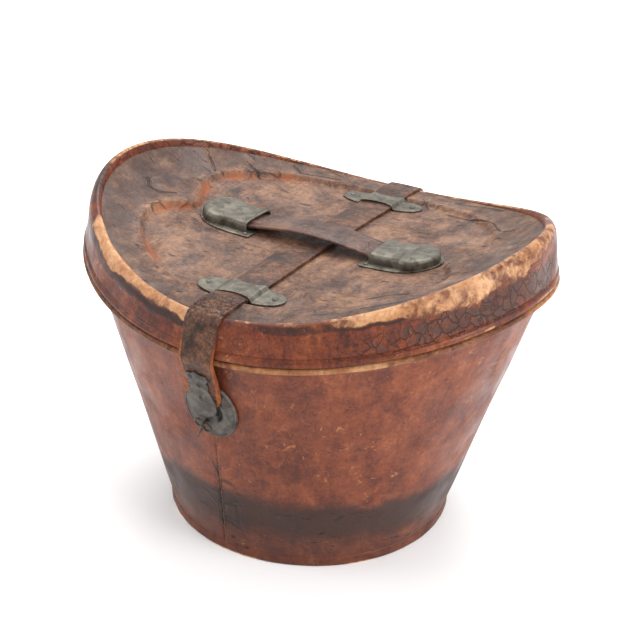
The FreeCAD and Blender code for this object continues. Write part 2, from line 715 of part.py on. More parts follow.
# ---------------------------------------------------------------- checks and export
doc.recompute()
faults = []
for item in doc.Objects:
    for word in ("Invalid", "Error"):
        if word in item.State:
            faults.append("%s is in state %s" % (item.Label, word))
for node in NODES:
    shape = node.Shape
    if shape.isNull() or not shape.isValid() or not shape.Solids:
        faults.append("%s has no valid solid shape" % node.Label)
for fault in faults:
    print("FAULT", fault)
if faults:
    sys.exit(1)

os.makedirs("parts", exist_ok=True)
for node in NODES:
    node.Shape.exportStep("parts/%s.step" % node.Label)
    box = node.Shape.BoundBox
    print("%-20s solids %d volume %9.1f  x %.1f..%.1f y %.1f..%.1f z %.1f..%.1f" % (
        node.Label, len(node.Shape.Solids), node.Shape.Volume,
        box.XMin, box.XMax, box.YMin, box.YMax, box.ZMin, box.ZMax))
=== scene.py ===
import logging
import math
from dataclasses import dataclass, field
from enum import Enum
from typing import Callable, Dict, List, Optional, Sequence, Tuple

import bmesh
import bpy
import numpy as np
from mathutils import Matrix, Vector, noise


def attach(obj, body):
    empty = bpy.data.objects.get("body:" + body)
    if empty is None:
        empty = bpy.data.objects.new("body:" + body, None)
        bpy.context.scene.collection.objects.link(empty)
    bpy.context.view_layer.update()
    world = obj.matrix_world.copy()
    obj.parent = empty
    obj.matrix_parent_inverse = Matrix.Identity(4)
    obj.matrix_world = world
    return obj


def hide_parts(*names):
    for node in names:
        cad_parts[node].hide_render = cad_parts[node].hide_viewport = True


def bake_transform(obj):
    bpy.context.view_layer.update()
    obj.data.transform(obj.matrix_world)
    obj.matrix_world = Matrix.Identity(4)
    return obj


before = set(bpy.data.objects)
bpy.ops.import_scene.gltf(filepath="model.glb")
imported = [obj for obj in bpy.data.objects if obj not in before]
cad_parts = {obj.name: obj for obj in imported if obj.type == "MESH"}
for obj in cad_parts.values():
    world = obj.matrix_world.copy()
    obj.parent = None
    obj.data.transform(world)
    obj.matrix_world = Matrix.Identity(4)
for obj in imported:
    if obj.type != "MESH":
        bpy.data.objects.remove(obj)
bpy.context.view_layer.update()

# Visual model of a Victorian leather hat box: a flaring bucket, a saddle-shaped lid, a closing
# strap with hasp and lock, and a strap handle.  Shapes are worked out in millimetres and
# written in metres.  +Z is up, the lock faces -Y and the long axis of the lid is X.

LOG = logging.getLogger("hat_box")
MM = 0.001
Array = np.ndarray
Colour = Tuple[float, float, float]


class Side(Enum):
    """The two hands of the box, seen from the front."""

    LEFT = -1
    RIGHT = 1


# ------------------------------------------------------------------ the form of the box
@dataclass(frozen=True)
class BoxForm:
    """Sizes of the shell in millimetres and the surfaces that every piece lies on."""

    base_radius: float = 114.5
    heel: float = 8.5
    flare_long: float = 0.3035
    flare_short: float = 0.2254
    rim_long: float = 185.0
    rim_short: float = 161.0
    rim_mean: float = 206.4
    rim_saddle: float = 14.66
    crest_long: float = 178.5
    crest_short: float = 154.5
    crest_mean: float = 240.2
    crest_saddle: float = 21.9
    panel_mean: float = 219.5
    panel_rise: float = 8.0
    panel_lift: float = 32.1
    panel_crown: float = 3.7

    @property
    def rim_side(self) -> float:
        """Height of the ledge at the middle of the front and back."""
        return self.rim_mean - self.rim_saddle

    def wall(self, z: Array) -> Tuple[Array, Array]:
        """Half axes of the bucket wall.

        Args:
            z: heights.
        Returns:
            Half length and half width at those heights.
        """
        rise = z - self.heel
        return self.base_radius + self.flare_long * rise, self.base_radius + self.flare_short * rise

    def skirt(self, z: Array) -> Tuple[Array, Array]:
        """Half axes of the lid skirt, which leans in towards the crest.

        Args:
            z: heights.
        Returns:
            Half length and half width at those heights.
        """
        rim_end = self.rim_mean + self.rim_saddle
        rim_side = self.rim_mean - self.rim_saddle
        rise_end = self.crest_mean + self.crest_saddle - rim_end
        rise_side = self.crest_mean - self.crest_saddle - rim_side
        lean_long = (self.rim_long - self.crest_long) / rise_end
        lean_short = (self.rim_short - self.crest_short) / rise_side
        return self.rim_long - lean_long * (z - rim_end), self.rim_short - lean_short * (z - rim_side)

    def ledge(self, x: Array, y: Array) -> Array:
        """Height of the rim ledge over a place."""
        return self.rim_mean + self.rim_saddle * ((x / self.rim_long) ** 2 - (y / self.rim_short) ** 2)

    def crest(self, x: Array, y: Array) -> Array:
        """Height of the lid crest over a place."""
        along, across = (x / self.crest_long) ** 2, (y / self.crest_short) ** 2
        return self.crest_mean + self.crest_saddle * (along - across)

    def panel(self, x: Array, y: Array) -> Array:
        """Height of the sunk lid panel over a place."""
        along = (x / self.crest_long) ** 2
        across = (y / self.crest_short) ** 2
        lift = self.panel_rise * along + self.panel_lift * along * (along + across)
        return self.panel_mean + lift - self.panel_crown * across

    def slope(self, x: float, y: float) -> Tuple[float, float]:
        """Slopes of the lid panel at a place, along X and along Y."""
        step = 0.5
        along = (self.panel(x + step, y) - self.panel(x - step, y)) / (2 * step)
        across = (self.panel(x, y + step) - self.panel(x, y - step)) / (2 * step)
        return float(along), float(across)


FORM = BoxForm()


def smooth(low: float, high: float, value: Array) -> Array:
    """Smooth step from 0 to 1 between low and high."""
    t = np.clip((value - low) / (high - low), 0.0, 1.0)
    return t * t * (3.0 - 2.0 * t)


def rumple(points: Array, size: float, octaves: int = 4, shift: float = 0.0) -> Array:
    """Repeatable fractal noise of about -1 to 1.

    Args:
        points: places in millimetres, one row each.
        size: size of the largest swells, in millimetres.
        octaves: how many finer layers are added.
        shift: offset that gives another pattern.
    Returns:
        One number for each place.
    """
    scaled = points / size + shift
    return np.array([noise.fractal(Vector(p), 1.0, 2.0, octaves) for p in scaled.tolist()])


# ------------------------------------------------------------------ making meshes
def clear_selection() -> None:
    """Leave edit mode and deselect every object."""
    if bpy.context.object and bpy.context.object.mode != "OBJECT":
        bpy.ops.object.mode_set(mode="OBJECT")
    bpy.ops.object.select_all(action="DESELECT")


def pick(piece: bpy.types.Object) -> None:
    """Make one object the only selected and active one."""
    clear_selection()
    piece.select_set(True)
    bpy.context.view_layer.objects.active = piece


def finish_modifiers(piece: bpy.types.Object) -> None:
    """Apply every modifier of a piece."""
    pick(piece)
    for modifier in list(piece.modifiers):
        bpy.ops.object.modifier_apply(modifier=modifier.name)


def round_off(piece: bpy.types.Object, angle: float = 40.0) -> None:
    """Shade a piece smooth, keeping edges sharper than angle degrees."""
    pick(piece)
    bpy.ops.object.shade_smooth_by_angle(angle=math.radians(angle))


def paint(piece: bpy.types.Object, name: str, values: Array) -> None:
    """Store one number per vertex under a name that the finishes read."""
    layer = piece.data.attributes.new(name, "FLOAT", "POINT")
    layer.data.foreach_set("value", np.ascontiguousarray(values, dtype=np.float32))


@dataclass
class Sheet:
    """A grid of leather or metal that is bent into shape.

    Attributes:
        name: name of the piece.
        across: divisions along u.
        along: divisions along v.
        gauge: thickness in millimetres, 0 for none.
        bevel: rounding of the edges in millimetres.
        flip: whether the faces are turned over.
        sharp: edges sharper than this many degrees stay sharp.
    """

    name: str
    across: int
    along: int
    gauge: float = 0.0
    bevel: float = 0.0
    flip: bool = False
    sharp: float = 40.0

    def make(
        self,
        place: Callable[[Array, Array], Array],
        marks: Optional[Callable[[Array, Array, Array], Dict[str, Array]]] = None,
        drop: Optional[Callable[[Array], Array]] = None,
    ) -> bpy.types.Object:
        """Add a grid, bend it by place, and give it its thickness and rounded edges.

        Args:
            place: gives the places in millimetres for arrays of u and v from 0 to 1.
            marks: gives named numbers per vertex from u, v and the places.
            drop: says which faces to cut away, from their middles.
        Returns:
            The finished piece.
        """
        clear_selection()
        bpy.ops.mesh.primitive_grid_add(x_subdivisions=self.across, y_subdivisions=self.along, size=1.0)
        piece = bpy.context.object
        piece.name = self.name
        piece.data.name = self.name
        count = len(piece.data.vertices)
        flat = np.empty(count * 3, dtype=np.float64)
        piece.data.vertices.foreach_get("co", flat)
        flat = flat.reshape(-1, 3)
        u = flat[:, 0] + 0.5
        v = flat[:, 1] + 0.5
        points = place(u, v)
        if marks is not None:
            for key, values in marks(u, v, points).items():
                paint(piece, key, values)
        piece.data.vertices.foreach_set("co", np.ascontiguousarray(points * MM).ravel())
        piece.data.update()
        if drop is not None:
            self.cut_away(piece, drop)
        bpy.ops.object.mode_set(mode="EDIT")
        bpy.ops.mesh.select_all(action="SELECT")
        bpy.ops.mesh.remove_doubles(threshold=0.00001)
        if self.flip:
            bpy.ops.mesh.flip_normals()
        bpy.ops.object.mode_set(mode="OBJECT")
        if self.gauge:
            wall = piece.modifiers.new("gauge", "SOLIDIFY")
            wall.thickness = self.gauge * MM
            wall.offset = -1.0
        if self.bevel:
            edge = piece.modifiers.new("edge", "BEVEL")
            edge.width = self.bevel * MM
            edge.segments = 3
            edge.limit_method = "ANGLE"
            edge.angle_limit = math.radians(55.0)
            edge.harden_normals = False
        finish_modifiers(piece)
        round_off(piece, self.sharp)
        return piece

    def cut_away(self, piece: bpy.types.Object, drop: Callable[[Array], Array]) -> None:
        """Delete the faces whose middles drop picks out."""
        shell = bmesh.new()
        shell.from_mesh(piece.data)
        middles = np.array([face.calc_center_median() for face in shell.faces]) / MM
        gone = [face for face, out in zip(list(shell.faces), drop(middles)) if out]
        bmesh.ops.delete(shell, geom=gone, context="FACES")
        shell.to_mesh(piece.data)
        shell.free()


def stud(name: str, place: Vector, normal: Vector, radius: float, height: float) -> bpy.types.Object:
    """One domed rivet head.

    Args:
        name: name of the piece.
        place: middle of its foot in millimetres.
        normal: direction that it faces.
        radius: radius in millimetres.
        height: height in millimetres.
    Returns:
        The rivet head.
    """
    clear_selection()
    bpy.ops.mesh.primitive_uv_sphere_add(segments=24, ring_count=16, radius=1.0)
    head = bpy.context.object
    head.name = name
    bpy.ops.object.mode_set(mode="EDIT")
    bpy.ops.mesh.select_all(action="SELECT")
    bpy.ops.mesh.bisect(plane_co=(0, 0, -0.02), plane_no=(0, 0, 1), clear_inner=True, use_fill=True)
    bpy.ops.object.mode_set(mode="OBJECT")
    turn = normal.to_track_quat("Z", "Y").to_matrix().to_4x4()
    size = Matrix.Diagonal((radius * MM, radius * MM, height * MM, 1.0))
    head.data.transform(Matrix.Translation(place * MM) @ turn @ size)
    round_off(head, 50.0)
    return head


def join(name: str, pieces: Sequence[bpy.types.Object]) -> bpy.types.Object:
    """Join several pieces into one under a name."""
    clear_selection()
    for piece in pieces:
        piece.select_set(True)
    bpy.context.view_layer.objects.active = pieces[0]
    bpy.ops.object.join()
    pieces[0].name = name
    pieces[0].data.name = name
    return pieces[0]


def softened_copy(node: str, name: str, width: float, segments: int = 2) -> bpy.types.Object:
    """Copy of a CAD node, merged and with its edges rounded by width millimetres."""
    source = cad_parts[node]
    copy = source.copy()
    copy.data = source.data.copy()
    copy.name = name
    copy.parent = None
    copy.matrix_world = Matrix.Identity(4)
    bpy.context.collection.objects.link(copy)
    pick(copy)
    bpy.ops.object.mode_set(mode="EDIT")
    bpy.ops.mesh.select_all(action="SELECT")
    bpy.ops.mesh.remove_doubles(threshold=0.00001)
    bpy.ops.mesh.dissolve_limited(angle_limit=math.radians(1.5))
    bpy.ops.object.mode_set(mode="OBJECT")
    edge = copy.modifiers.new("edge", "BEVEL")
    edge.width = width * MM
    edge.segments = segments
    edge.limit_method = "ANGLE"
    edge.angle_limit = math.radians(40.0)
    finish_modifiers(copy)
    round_off(copy, 35.0)
    return copy


# ------------------------------------------------------------------ finishes
class Recipe:
    """Short hand for building one shader by nodes on Object coordinates."""

    def __init__(self, name: str) -> None:
        """Start a finish with the given name."""
        self.material = bpy.data.materials.new(name)
        self.material.use_nodes = True
        self.tree = self.material.node_tree
        self.shader = self.tree.nodes["Principled BSDF"]
        self.place = self.node("ShaderNodeTexCoord").outputs["Object"]
        self.height = None

    def node(self, kind: str) -> bpy.types.Node:
        """Add one node."""
        return self.tree.nodes.new(kind)

    def plug(self, socket: bpy.types.NodeSocket, value: object) -> None:
        """Link a socket, or set it where value is a number or colour."""
        if isinstance(value, bpy.types.NodeSocket):
            self.tree.links.new(value, socket)
        elif isinstance(value, tuple) and len(value) == 3 and socket.type == "RGBA":
            socket.default_value = (*value, 1.0)
        else:
            socket.default_value = value

    def stretched(self, scale: Colour, turn: Colour = (0.0, 0.0, 0.0)) -> bpy.types.NodeSocket:
        """Object coordinates scaled and turned."""
        mapping = self.node("ShaderNodeMapping")
        self.plug(mapping.inputs["Vector"], self.place)
        mapping.inputs["Rotation"].default_value = turn
        mapping.inputs["Scale"].default_value = scale
        return mapping.outputs["Vector"]

    def cloud(
        self, scale: float, detail: float = 6.0, rough: float = 0.6, warp: float = 0.0, where: object = None
    ) -> bpy.types.NodeSocket:
        """Fractal noise of 0 to 1.

        Args:
            scale: swells per metre.
            detail: number of finer layers.
            rough: strength of the finer layers.
            warp: how far the pattern is pulled about.
            where: coordinates, the piece's own where none are given.
        Returns:
            The noise.
        """
        node = self.node("ShaderNodeTexNoise")
        self.plug(node.inputs["Vector"], where or self.place)
        node.inputs["Scale"].default_value = scale
        node.inputs["Detail"].default_value = detail
        node.inputs["Roughness"].default_value = rough
        node.inputs["Distortion"].default_value = warp
        return node.outputs["Fac"]

    def cells(
        self, scale: float, feature: str = "DISTANCE_TO_EDGE", warp: float = 0.0
    ) -> bpy.types.NodeSocket:
        """Cell pattern: distance to the cell edges, or to the cell middles.

        Args:
            scale: cells per metre.
            feature: what is measured.
            warp: how far noise pulls the cells about, in metres.
        Returns:
            The distance.
        """
        where = self.place
        if warp:
            wander = self.node("ShaderNodeTexNoise")
            self.plug(wander.inputs["Vector"], self.place)
            wander.inputs["Scale"].default_value = scale * 0.9
            wander.inputs["Detail"].default_value = 4.0
            push = self.node("ShaderNodeVectorMath")
            push.operation = "MULTIPLY_ADD"
            self.plug(push.inputs[0], wander.outputs["Color"])
            push.inputs[1].default_value = (warp, warp, warp)
            self.plug(push.inputs[2], self.place)
            where = push.outputs["Vector"]
        node = self.node("ShaderNodeTexVoronoi")
        node.feature = feature
        self.plug(node.inputs["Vector"], where)
        node.inputs["Scale"].default_value = scale
        return node.outputs["Distance"]

    def ramp(
        self, value: bpy.types.NodeSocket, stops: Sequence[Tuple[float, Colour]]
    ) -> bpy.types.NodeSocket:
        """Colour ramp with the given stops."""
        node = self.node("ShaderNodeValToRGB")
        self.plug(node.inputs["Fac"], value)
        elements = node.color_ramp.elements
        while len(elements) < len(stops):
            elements.new(0.5)
        for element, (position, colour) in zip(elements, stops):
            element.position = position
            element.color = (*colour, 1.0)
        return node.outputs["Color"]

    def band(self, value: bpy.types.NodeSocket, low: float, high: float) -> bpy.types.NodeSocket:
        """Smooth step of a value from 0 at low to 1 at high, or the other way round."""
        node = self.node("ShaderNodeMapRange")
        node.interpolation_type = "SMOOTHSTEP"
        self.plug(node.inputs["Value"], value)
        if low < high:
            node.inputs["From Min"].default_value = low
            node.inputs["From Max"].default_value = high
        else:
            node.inputs["From Min"].default_value = high
            node.inputs["From Max"].default_value = low
            node.inputs["To Min"].default_value = 1.0
            node.inputs["To Max"].default_value = 0.0
        return node.outputs["Result"]

    def sum(self, kind: str, first: object, second: object) -> bpy.types.NodeSocket:
        """Arithmetic on two numbers, clamped to nothing."""
        node = self.node("ShaderNodeMath")
        node.operation = kind
        self.plug(node.inputs[0], first)
        self.plug(node.inputs[1], second)
        return node.outputs["Value"]

    def times(self, first: object, second: object) -> bpy.types.NodeSocket:
        """Product of two values."""
        return self.sum("MULTIPLY", first, second)

    def plus(self, first: object, second: object) -> bpy.types.NodeSocket:
        """Sum of two values."""
        return self.sum("ADD", first, second)

    def less(self, first: object, second: object) -> bpy.types.NodeSocket:
        """First value less the second."""
        return self.sum("SUBTRACT", first, second)

    def larger(self, first: object, second: object) -> bpy.types.NodeSocket:
        """The larger of two values."""
        return self.sum("MAXIMUM", first, second)

    def mark(self, name: str) -> bpy.types.NodeSocket:
        """Number that was painted on the mesh under a name."""
        node = self.node("ShaderNodeAttribute")
        node.attribute_name = name
        return node.outputs["Fac"]

    def axis(self, letter: str) -> bpy.types.NodeSocket:
        """One Object coordinate in metres."""
        node = self.node("ShaderNodeSeparateXYZ")
        self.plug(node.inputs["Vector"], self.place)
        return node.outputs[letter]

    def blend(self, amount: object, under: object, over: object, kind: str = "MIX") -> bpy.types.NodeSocket:
        """Mix two colours."""
        node = self.node("ShaderNodeMix")
        node.data_type = "RGBA"
        node.blend_type = kind
        self.plug(node.inputs[0], amount)
        self.plug(node.inputs[6], under)
        self.plug(node.inputs[7], over)
        return node.outputs[2]

    def relief(self, value: bpy.types.NodeSocket, depth: float, strength: float = 1.0) -> None:
        """Add one layer of bump of a depth in millimetres."""
        node = self.node("ShaderNodeBump")
        node.inputs["Distance"].default_value = depth * MM
        node.inputs["Strength"].default_value = strength
        self.plug(node.inputs["Height"], value)
        if self.height is not None:
            self.plug(node.inputs["Normal"], self.height)
        self.height = node.outputs["Normal"]

    def close(self, colour: object, rough: object, **numbers: float) -> bpy.types.Material:
        """Wire the shader and return the finished material.

        Args:
            colour: base colour.
            rough: roughness.
            numbers: other shader inputs by name, with underscores for spaces.
        Returns:
            The material.
        """
        self.plug(self.shader.inputs["Base Color"], colour)
        self.plug(self.shader.inputs["Roughness"], rough)
        if self.height is not None:
            self.plug(self.shader.inputs["Normal"], self.height)
        for key, value in numbers.items():
            self.shader.inputs[key.replace("_", " ")].default_value = value
        return self.material


@dataclass(frozen=True)
class HideTones:
    """The colours of one leather, from its deepest to its most worn."""

    deep: Colour
    dark: Colour
    middle: Colour
    light: Colour
    worn: Colour = (0.40, 0.185, 0.080)
    pale: Colour = (0.60, 0.345, 0.180)
    char: Colour = (0.018, 0.012, 0.011)
    crack: Colour = (0.018, 0.012, 0.011)
    flake: Colour = (0.052, 0.028, 0.023)


class HideFinish:
    """Old vegetable-tanned leather: mottled, scratched, cracked and worn through in places."""

    def __init__(
        self,
        name: str,
        tones: HideTones,
        swell: float = 22.0,
        crack: float = 60.0,
        crack_depth: float = 0.5,
        crack_reach: Tuple[float, float] = (0.55, 0.7),
        gloss: Tuple[float, float] = (0.42, 0.68),
        grain: Colour = (1.0, 1.0, 1.0),
        stained: bool = False,
        scratched: float = 0.35,
        embossed: bool = False,
        spread: Tuple[float, float, float, float] = (0.26, 0.40, 0.52, 0.68),
    ) -> None:
        """Build the finish.

        Args:
            name: name of the finish.
            tones: its colours.
            swell: mottles per metre.
            crack: crack cells per metre.
            crack_depth: depth of the cracks in millimetres.
            crack_reach: noise levels between which cracks appear, lower for more of them.
            gloss: roughness of the polished and of the rubbed parts.
            grain: stretch of the streaks along each axis.
            stained: whether the foot has the dark tide mark.
            scratched: strength of the light scratches.
            embossed: whether the mesh marks an embossed line, which gets a painted orange highlight, and
                long splits.
            spread: levels of the mottle at which each tone is reached.
        """
        mix = Recipe(name)
        mottle = mix.cloud(swell, 9.0, 0.62, 0.5)
        streak = mix.cloud(70.0, 6.0, 0.65, 0.2, mix.stretched(grain))
        fine = mix.cloud(420.0, 4.0, 0.7)
        body = mix.sum("MULTIPLY_ADD", streak, 0.60)
        body.node.inputs[2].default_value = -0.30
        body = mix.plus(mottle, body)
        for grit, share in ((fine, 0.62), (mix.cloud(150.0, 7.0, 0.75, 0.4), 0.62)):
            speck = mix.sum("MULTIPLY_ADD", grit, share)
            speck.node.inputs[2].default_value = -0.5 * share
            body = mix.plus(body, speck)
        colour = mix.ramp(body, list(zip(spread, (tones.deep, tones.dark, tones.middle, tones.light))))
        colour = self.scratches(mix, colour, tones, scratched)
        blotch = mix.band(mix.cloud(34.0, 7.0, 0.7, 0.8), 0.60, 0.72)
        colour = mix.blend(mix.times(blotch, 0.55), colour, tones.deep)
        colour = self.flecks(mix, colour, tones)
        if stained:
            colour = self.tide(mix, colour)
        if embossed:
            colour = self.emboss(mix, colour, tones)
        colour = self.worn_charred_and_shaded(mix, colour, tones)
        edge = mix.cells(crack, warp=0.012)
        turned = mix.stretched((1.0, 1.0, 1.0), (0.4, 0.9, 0.2))
        reach = mix.band(mix.cloud(14.0, 5.0, 0.6, 0.0, turned), *crack_reach)
        reach = mix.larger(reach, mix.mark("cracked"))
        line = mix.times(mix.band(edge, 0.045, 0.012), reach)
        colour = mix.blend(mix.times(line, 0.85), colour, tones.crack)
        lip = mix.times(mix.band(edge, 0.11, 0.03), reach)
        mix.relief(mix.cloud(9.0, 3.0, 0.5), 2.0, 0.35)
        mix.relief(mottle, 0.7, 0.5)
        mix.relief(mix.cells(900.0, "F1"), 0.10, 0.5)
        mix.relief(fine, 0.16, 0.6)
        mix.relief(mix.less(lip, mix.times(line, 2.4)), crack_depth, 0.9)
        shine = mix.band(mix.cloud(30.0, 5.0, 0.6), 0.35, 0.65)
        spread = gloss[1] - gloss[0]
        rough = mix.sum("MULTIPLY_ADD", shine, spread)
        rough.node.inputs[2].default_value = gloss[0]
        rough = mix.larger(rough, mix.times(mix.mark("worn"), 0.8))
        self.material = mix.close(colour, rough, Specular_IOR_Level=0.27)

    def flecks(self, mix: Recipe, colour: object, tones: HideTones) -> bpy.types.NodeSocket:
        """Small rubbed-through chips and small dark pits."""
        chip = mix.cloud(190.0, 4.0, 0.6, 0.7)
        here = mix.band(mix.cloud(17.0, 4.0, 0.6), 0.50, 0.62)
        light = mix.times(mix.band(chip, 0.635, 0.665), here)
        colour = mix.blend(mix.times(light, 0.6), colour, tones.worn)
        here = mix.band(mix.cloud(23.0, 4.0, 0.6), 0.46, 0.58)
        pit = mix.times(mix.band(chip, 0.345, 0.315), here)
        mix.relief(mix.plus(light, pit), -0.25, 0.7)
        return mix.blend(mix.times(pit, 0.75), colour, tones.deep)

    def scratches(
        self, mix: Recipe, colour: object, tones: HideTones, amount: float
    ) -> bpy.types.NodeSocket:
        """Fine light scratches in three directions."""
        for turn in ((0.5, 0.3, 0.9), (1.1, 0.2, 0.3), (0.2, 1.2, 2.2)):
            where = mix.stretched((90.0, 9.0, 40.0), turn)
            line = mix.cloud(1.0, 2.0, 0.5, 0.3, where)
            thin = mix.times(mix.band(line, 0.485, 0.5), mix.band(line, 0.515, 0.5))
            here = mix.band(mix.cloud(26.0, 3.0, 0.5, 0.0, mix.stretched((1.0, 1.0, 1.0), turn)), 0.56, 0.66)
            colour = mix.blend(mix.times(mix.times(thin, here), amount), colour, tones.light)
        return colour

    def tide(self, mix: Recipe, colour: object) -> bpy.types.NodeSocket:
        """Orange scuffs of the front, and the dark tide mark round the foot with its wavy top edge."""
        rough = mix.times(mix.less(mix.cloud(210.0, 4.0, 0.6, 0.4), 0.5), 1.6)
        rubbed = mix.band(mix.plus(mix.mark("scuff"), rough), 0.78, 1.05)
        colour = mix.blend(mix.times(rubbed, 0.6), colour, (0.36, 0.125, 0.038))
        wave = mix.times(mix.cloud(16.0, 6.0, 0.55), 0.040)
        level = mix.plus(mix.axis("Z"), wave)
        under = mix.band(level, 0.092, 0.078)
        blurred = mix.times(mix.cloud(40.0, 5.0, 0.6), 0.03)
        fade = mix.band(mix.plus(mix.axis("Z"), blurred), 0.018, 0.055)
        amount = mix.times(under, mix.larger(mix.times(fade, 0.9), 0.35))
        colour = mix.blend(amount, colour, (0.028, 0.014, 0.011))
        where = mix.stretched((65.0, 65.0, 260.0), (0.0, 0.2, 0.0))
        nick = mix.band(mix.cloud(1.0, 3.0, 0.55, 0.4, where), 0.65, 0.68)
        nick = mix.times(nick, under)
        mix.relief(nick, -0.5, 0.8)
        return mix.blend(mix.times(nick, 0.85), colour, (0.010, 0.007, 0.006))

    def emboss(self, mix: Recipe, colour: object, tones: HideTones) -> bpy.types.NodeSocket:
        """Darker border, painted orange highlight along the embossed step beside its painted shadow, and
        long splits.
        """
        ragged = mix.cloud(90.0, 6.0, 0.65, 0.5)
        grey = mix.times(mix.mark("grey"), mix.band(ragged, 0.32, 0.62))
        colour = mix.blend(mix.times(grey, 0.55), colour, tones.deep)
        grey_edge = mix.times(mix.band(mix.axis("X"), -0.045, -0.10), mix.mark("grey"))
        colour = mix.blend(mix.times(grey_edge, 0.40), colour, (0.052, 0.030, 0.026))
        # Painted highlight: an orange line along the foot of the embossed step, where the step catches the
        # light, strongest on the left.
        glow = mix.times(mix.mark("glow"), mix.band(mix.cloud(30.0, 6.0, 0.65), 0.40, 0.60))
        side = mix.larger(mix.band(mix.axis("X"), -0.030, -0.085), 0.22)
        colour = mix.blend(mix.times(mix.times(glow, side), 0.8), colour, (0.27, 0.072, 0.020))
        where = mix.stretched((55.0, 250.0, 60.0), (0.0, 0.0, 0.25))
        nick = mix.band(mix.cloud(1.0, 3.0, 0.55, 0.3, where), 0.660, 0.690)
        colour = mix.blend(mix.times(nick, 0.85), colour, tones.char)
        mix.relief(nick, -0.5, 0.8)
        wander = mix.plus(mix.mark("split"), mix.times(mix.less(ragged, 0.5), 0.45))
        torn = mix.band(wander, 0.22, 0.14)
        bare = mix.times(torn, mix.band(mix.cloud(60.0, 3.0, 0.5, 0.3), 0.40, 0.60))
        colour = mix.blend(mix.times(bare, 0.75), colour, (0.26, 0.125, 0.062))
        gap = mix.band(wander, 0.12, 0.07)
        mix.relief(mix.less(torn, mix.times(gap, 3.0)), 0.6, 0.9)
        return mix.blend(mix.times(gap, 0.95), colour, tones.char)

    def worn_charred_and_shaded(self, mix: Recipe, colour: object, tones: HideTones) -> bpy.types.NodeSocket:
        """Dark patches and worn-through tan patches where the mesh is marked; on the lid top the dark
        patches include painted shade along the step and in the gap at its outer edge.
        """
        coarse = mix.times(mix.cloud(38.0, 5.0, 0.6, 0.4), 0.5)
        ragged = mix.plus(coarse, mix.times(mix.cloud(130.0, 7.0, 0.7, 0.6), 0.5))
        # Darkens where the char mark is high: real charred patches, and painted shade where the lid top
        # marks its step and its edge gap.
        char = mix.band(mix.plus(mix.mark("char"), mix.times(ragged, 0.7)), 0.78, 0.98)
        char_and_shade_tone = mix.blend(mix.mark("cracked"), tones.char, tones.flake)
        colour = mix.blend(mix.times(char, 0.88), colour, char_and_shade_tone)
        fibre = mix.times(mix.cloud(150.0, 7.0, 0.68, 0.4), 0.45)
        where = mix.stretched((210.0, 210.0, 34.0))
        fibre = mix.plus(fibre, mix.times(mix.cloud(1.0, 6.0, 0.65, 0.6, where), 0.30))
        fibre = mix.plus(fibre, mix.times(mix.cloud(21.0, 5.0, 0.6, 0.2), 0.42))
        orange = tuple(part * share for part, share in zip(tones.worn, (0.62, 0.48, 0.38)))
        tan = mix.ramp(fibre, [(0.44, orange), (0.56, tones.worn), (0.70, tones.pale)])
        level = mix.plus(mix.mark("worn"), mix.times(ragged, 0.8))
        rim = mix.band(level, 0.76, 0.90)
        colour = mix.blend(mix.times(rim, 0.75), colour, (0.10, 0.030, 0.012))
        return mix.blend(mix.band(level, 0.88, 1.02), colour, tan)


class MetalFinish:
    """Oxidised brass: dull grey green with brown in the hollows and paler rubbed edges, with painted
    near-black shade where the mesh marks the lock slot.
    """

    def __init__(self, name: str, pale: Colour, dull: Colour, brown: Colour, metallic: float = 0.75) -> None:
        """Build the finish.

        Args:
            name: name of the finish.
            pale: colour of the rubbed metal.
            dull: colour of the dulled metal.
            brown: colour of the dirt.
            metallic: how metallic the surface still is.
        """
        mix = Recipe(name)
        patina = mix.cloud(120.0, 8.0, 0.62, 0.6)
        colour = mix.ramp(patina, [(0.30, brown), (0.46, dull), (0.64, pale)])
        spots = mix.band(mix.cloud(600.0, 3.0, 0.6), 0.62, 0.72)
        colour = mix.blend(mix.times(spots, 0.6), colour, brown)
        mix.relief(patina, 0.08, 0.4)
        mix.relief(mix.cloud(900.0, 3.0, 0.6), 0.03, 0.5)
        rough = mix.sum("MULTIPLY_ADD", mix.cloud(200.0, 4.0, 0.6), 0.35)
        rough.node.inputs[2].default_value = 0.30
        # Painted shade: near-black where the mesh marks the lock slot, standing in for the shade under the
        # hasp leaf's lifted edge.
        colour = mix.blend(mix.times(mix.mark("hollow"), 0.94), colour, (0.007, 0.006, 0.005))
        self.material = mix.close(colour, rough, Metallic=metallic)


class ClothFinish:
    """Plain woven lining cloth."""

    def __init__(self, name: str, colour: Colour, shade: Colour) -> None:
        """Build the finish from the cloth colour and its shade."""
        mix = Recipe(name)
        tone = mix.ramp(mix.cloud(40.0, 6.0, 0.6), [(0.35, shade), (0.65, colour)])
        warp = mix.cloud(1.0, 2.0, 0.5, 0.0, mix.stretched((2600.0, 2600.0, 200.0)))
        weft = mix.cloud(1.0, 2.0, 0.5, 0.0, mix.stretched((200.0, 200.0, 2600.0)))
        mix.relief(mix.plus(warp, weft), 0.15, 0.7)
        tone = mix.blend(mix.times(warp, 0.3), tone, shade)
        self.material = mix.close(tone, mix.plus(mix.times(weft, 0.1), 0.82))


class BoardFinish:
    """Bare wooden board or floor of the studio."""

    def __init__(self, name: str, light: Colour, dark: Colour) -> None:
        """Build the finish from its light and dark rings."""
        mix = Recipe(name)
        rings = mix.cloud(1.0, 6.0, 0.6, 0.6, mix.stretched((30.0, 220.0, 30.0)))
        colour = mix.ramp(rings, [(0.35, dark), (0.62, light)])
        mix.relief(rings, 0.2, 0.5)
        self.material = mix.close(colour, mix.plus(mix.times(rings, 0.2), 0.6))


@dataclass
class Palette:
    """Every finish of the box."""

    wall: bpy.types.Material
    skirt: bpy.types.Material
    top: bpy.types.Material
    welt: bpy.types.Material
    strap: bpy.types.Material
    handle: bpy.types.Material
    brass: bpy.types.Material
    iron: bpy.types.Material
    steel: bpy.types.Material
    thread: bpy.types.Material
    cloth: bpy.types.Material
    board: bpy.types.Material


